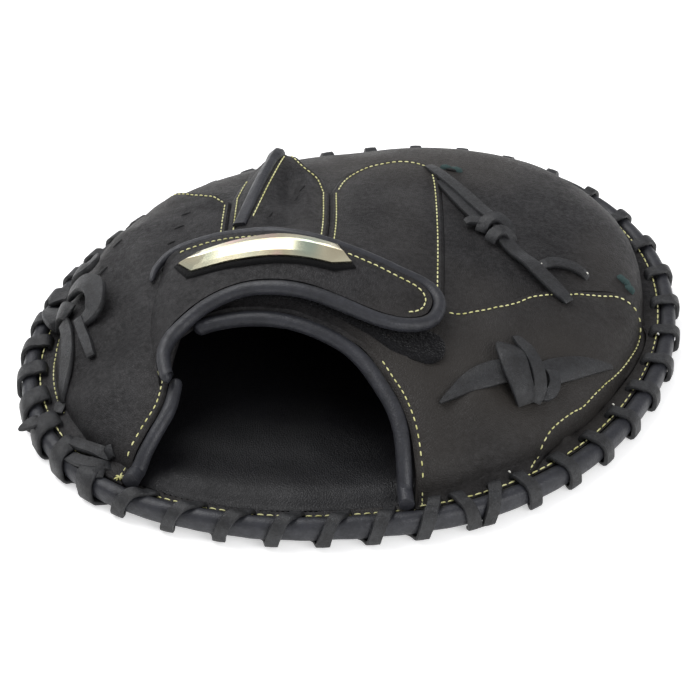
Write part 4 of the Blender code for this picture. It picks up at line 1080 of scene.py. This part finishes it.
# For each band: what it lies on, the solid it stands for, and its rows
ties = {
    "thumb_tie_left": (raised, "thumb_tie", [
        (230, -610, 0.4, 1.0, 1.6), (268, -578, 0.5, 4.5, 1.8), (318, -536, 0.6, 8.4, 2.0),
        (372, -502, 0.9, 10.4, 2.0), (428, -480, 1.8, 9.6, 2.0), (470, -468, 1.8, 6.0, 2.0)]),
    "thumb_tie_right": (raised, None, [
        (440, -480, 0.8, 6.0, 2.0), (508, -470, 0.9, 9.4, 2.0), (566, -432, 0.7, 10.6, 1.9),
        (634, -388, 0.6, 9.0, 1.8), (692, -352, 0.5, 5.6, 1.7), (742, -318, 0.4, 1.4, 1.5)]),
    "thumb_tie_wrap": (raised, None, [
        (425, -385, 0.2, 8.0, 1.8), (428, -415, 2.8, 10.0, 2.0), (436, -455, 5.2, 11.0, 2.2),
        (450, -500, 5.0, 10.8, 2.2), (468, -538, 2.6, 9.4, 2.0), (476, -556, 0.0, 8.0, 1.8)]),
    "thumb_tie_over": (raised, None, [
        (450, -348, 0.4, 2.4, 1.6), (468, -388, 2.8, 4.8, 1.8), (487, -428, 5.2, 5.4, 1.9),
        (507, -470, 5.2, 5.6, 1.9), (514, -512, 3.0, 5.8, 1.9), (498, -545, 0.4, 5.2, 1.8)]),
    "thumb_tie_loop": (raised, None, [
        (500, -525, 0.2, 4.0, 1.8), (540, -516, 1.8, 5.0, 2.0), (558, -482, 2.8, 5.2, 2.0),
        (548, -442, 2.0, 4.4, 1.8)]),
    "web_tie_upper": (web_base, "web_tie", [
        (222, 505, 0.3, 3.6, 1.7), (250, 455, 0.9, 5.0, 1.9), (292, 378, 1.0, 5.4, 2.1),
        (336, 298, 1.0, 5.6, 2.2), (378, 220, 1.4, 5.6, 2.2), (412, 162, 2.2, 5.4, 2.1),
        (428, 118, 2.4, 5.0, 2.0)]),
    "web_tie_lower": (web_base, None, [
        (255, 400, 0.3, 3.0, 1.5), (280, 340, 0.4, 4.2, 1.7), (318, 258, 0.4, 4.6, 1.8),
        (358, 182, 0.6, 4.8, 1.9), (402, 118, 0.8, 4.6, 1.8)]),
    "web_tie_wrap": (web_base, None, [
        (372, 108, 0.3, 5.0, 1.9), (386, 132, 2.8, 5.6, 2.2), (412, 146, 4.4, 6.0, 2.4),
        (436, 142, 4.0, 5.8, 2.3), (456, 126, 2.0, 5.4, 2.1), (464, 112, 0.2, 4.8, 1.8)]),
    "web_tie_collar": (web_base, None, [
        (396, 62, 0.3, 4.8, 1.9), (410, 78, 2.6, 5.6, 2.1), (434, 90, 3.8, 5.8, 2.2),
        (458, 86, 2.2, 5.2, 2.0), (470, 76, 0.2, 4.6, 1.8)]),
    "web_tie_end": (web_base, None, [
        (326, 142, 1.4, 3.4, 1.8), (350, 148, 1.9, 5.0, 2.0), (385, 138, 2.2, 5.2, 2.1)]),
    "web_tie_tail": (web_base, None, [
        (428, 98, 1.8, 5.6, 2.0), (458, 44, 1.0, 6.4, 2.0), (500, -12, 0.6, 6.8, 2.0),
        (545, -72, 0.6, 6.8, 2.0), (585, -122, 0.5, 6.8, 2.0), (622, -160, 0.4, 4.6, 1.8)]),
    "web_loop_band": (back_height, "web_loop", [
        (542, -12, -1.2, 4.2, 1.6), (560, -2, 0.1, 4.8, 1.8), (592, 12, 0.4, 5.2, 2.0),
        (638, 12, 0.4, 5.2, 2.0), (672, 0, 0.1, 4.6, 1.8), (690, -8, -1.2, 4.0, 1.6)]),
    "pinky_tie_top": (raised, "pinky_tie", [
        (-935, 75, 0.8, 5.4, 2.0), (-890, 78, 2.4, 6.4, 2.5), (-845, 56, 4.2, 7.0, 2.8),
        (-808, 30, 4.8, 6.4, 2.8), (-786, 56, 4.2, 4.6, 2.2), (-778, 110, 3.2, 1.4, 1.6)]),
    "pinky_tie_left_loop": (raised, None, [
        (-920, 30, 0.6, 7.0, 2.6), (-912, -22, 2.8, 8.6, 3.2), (-882, -80, 4.0, 9.0, 3.4),
        (-842, -132, 2.2, 7.4, 2.6)]),
    "pinky_tie_right_loop": (raised, None, [
        (-852, -36, 2.6, 7.0, 2.6), (-806, -56, 4.8, 8.6, 3.2), (-766, -112, 4.8, 9.2, 3.4),
        (-766, -184, 2.8, 8.0, 2.8), (-804, -205, 0.9, 6.4, 2.2)]),
    "pinky_tie_short_tail": (raised, None, [
        (-812, -180, 1.6, 4.2, 2.8), (-795, -240, 1.1, 4.2, 2.8), (-775, -300, 0.7, 4.2, 2.8),
        (-760, -352, 0.5, 3.4, 2.4)]),
    "pinky_tie_long_tail": (raised, None, [
        (-862, -140, 1.6, 5.6, 2.0), (-842, -220, 0.9, 6.0, 2.0), (-836, -300, 0.7, 6.4, 2.0),
        (-842, -380, 0.6, 6.2, 2.0), (-856, -452, 0.5, 3.6, 1.8)]),
    "corner_lace_end": (raised, None, [
        (-902, -488, 1.0, 6.0, 1.8), (-924, -500, 0.8, 5.6, 1.8), (-946, -512, 0.2, 3.6, 1.6),
        (-962, -520, -0.4, 1.2, 1.4)]),
    "corner_knot_upper": (raised, "corner_knot", [
        (-812, -575, 0.4, 5.2, 2.0), (-770, -612, 1.9, 5.8, 2.2), (-722, -634, 1.7, 5.8, 2.1),
        (-680, -650, -0.4, 5.0, 1.8)]),
    "corner_knot_lower": (raised, None, [
        (-806, -640, 0.2, 5.2, 1.9), (-762, -674, 1.2, 5.8, 2.0), (-716, -684, 1.0, 5.2, 1.9),
        (-684, -680, -0.6, 4.4, 1.8)]),
    "corner_fold": (raised, None, [
        (-772, -668, 0.2, 1.4, 1.6), (-748, -690, 0.7, 5.0, 1.9), (-722, -702, 0.6, 8.0, 2.0),
        (-700, -706, 0.2, 7.0, 1.8)]),
}
for name, (surface, node, rows) in ties.items():
    tie_band(name, rows, surface, node)

# Studio: a light table, that is a sheet of white acrylic lit faintly from below, so that the glove
# throws hardly a shadow; a wide soft box over the little-finger side, a lower one in front, and
# pale walls all round.
acrylic = new_material("lit_white_acrylic", Roughness=0.6, Base_Color=srgb("#f7f7f6"),
                       Emission_Color=srgb("#ffffff"), Emission_Strength=0.45)
floor_piece = mesh_piece("table_top", [(-4, -4, 0), (4, -4, 0), (4, 4, 0), (-4, 4, 0)], [(0, 1, 2, 3)],
                         acrylic)


def soft_box(name, size, place_at, aim, power):
    lamp = bpy.data.lights.new(name, "AREA")
    lamp.shape = "RECTANGLE"
    lamp.size, lamp.size_y = size
    lamp.energy = power
    made = bpy.data.objects.new(name, lamp)
    made.location = place_at
    made.rotation_euler = (Vector(place_at) - Vector(aim)).to_track_quat("Z", "Y").to_euler()
    bpy.context.scene.collection.objects.link(made)


soft_box("overhead_box", (1.1, 0.8), (-0.50, 0.32, 0.92), (0, 0, 0), 10)
soft_box("front_box", (1.0, 0.6), (0.9, -1.0, 0.7), (0, 0, 0.02), 10)
world = bpy.data.worlds.new("studio")
world.use_nodes = True
world.node_tree.nodes["Background"].inputs["Color"].default_value = srgb("#fbfbff")
world.node_tree.nodes["Background"].inputs["Strength"].default_value = 0.55
bpy.context.scene.world = world
bpy.context.scene.view_settings.view_transform = "Standard"
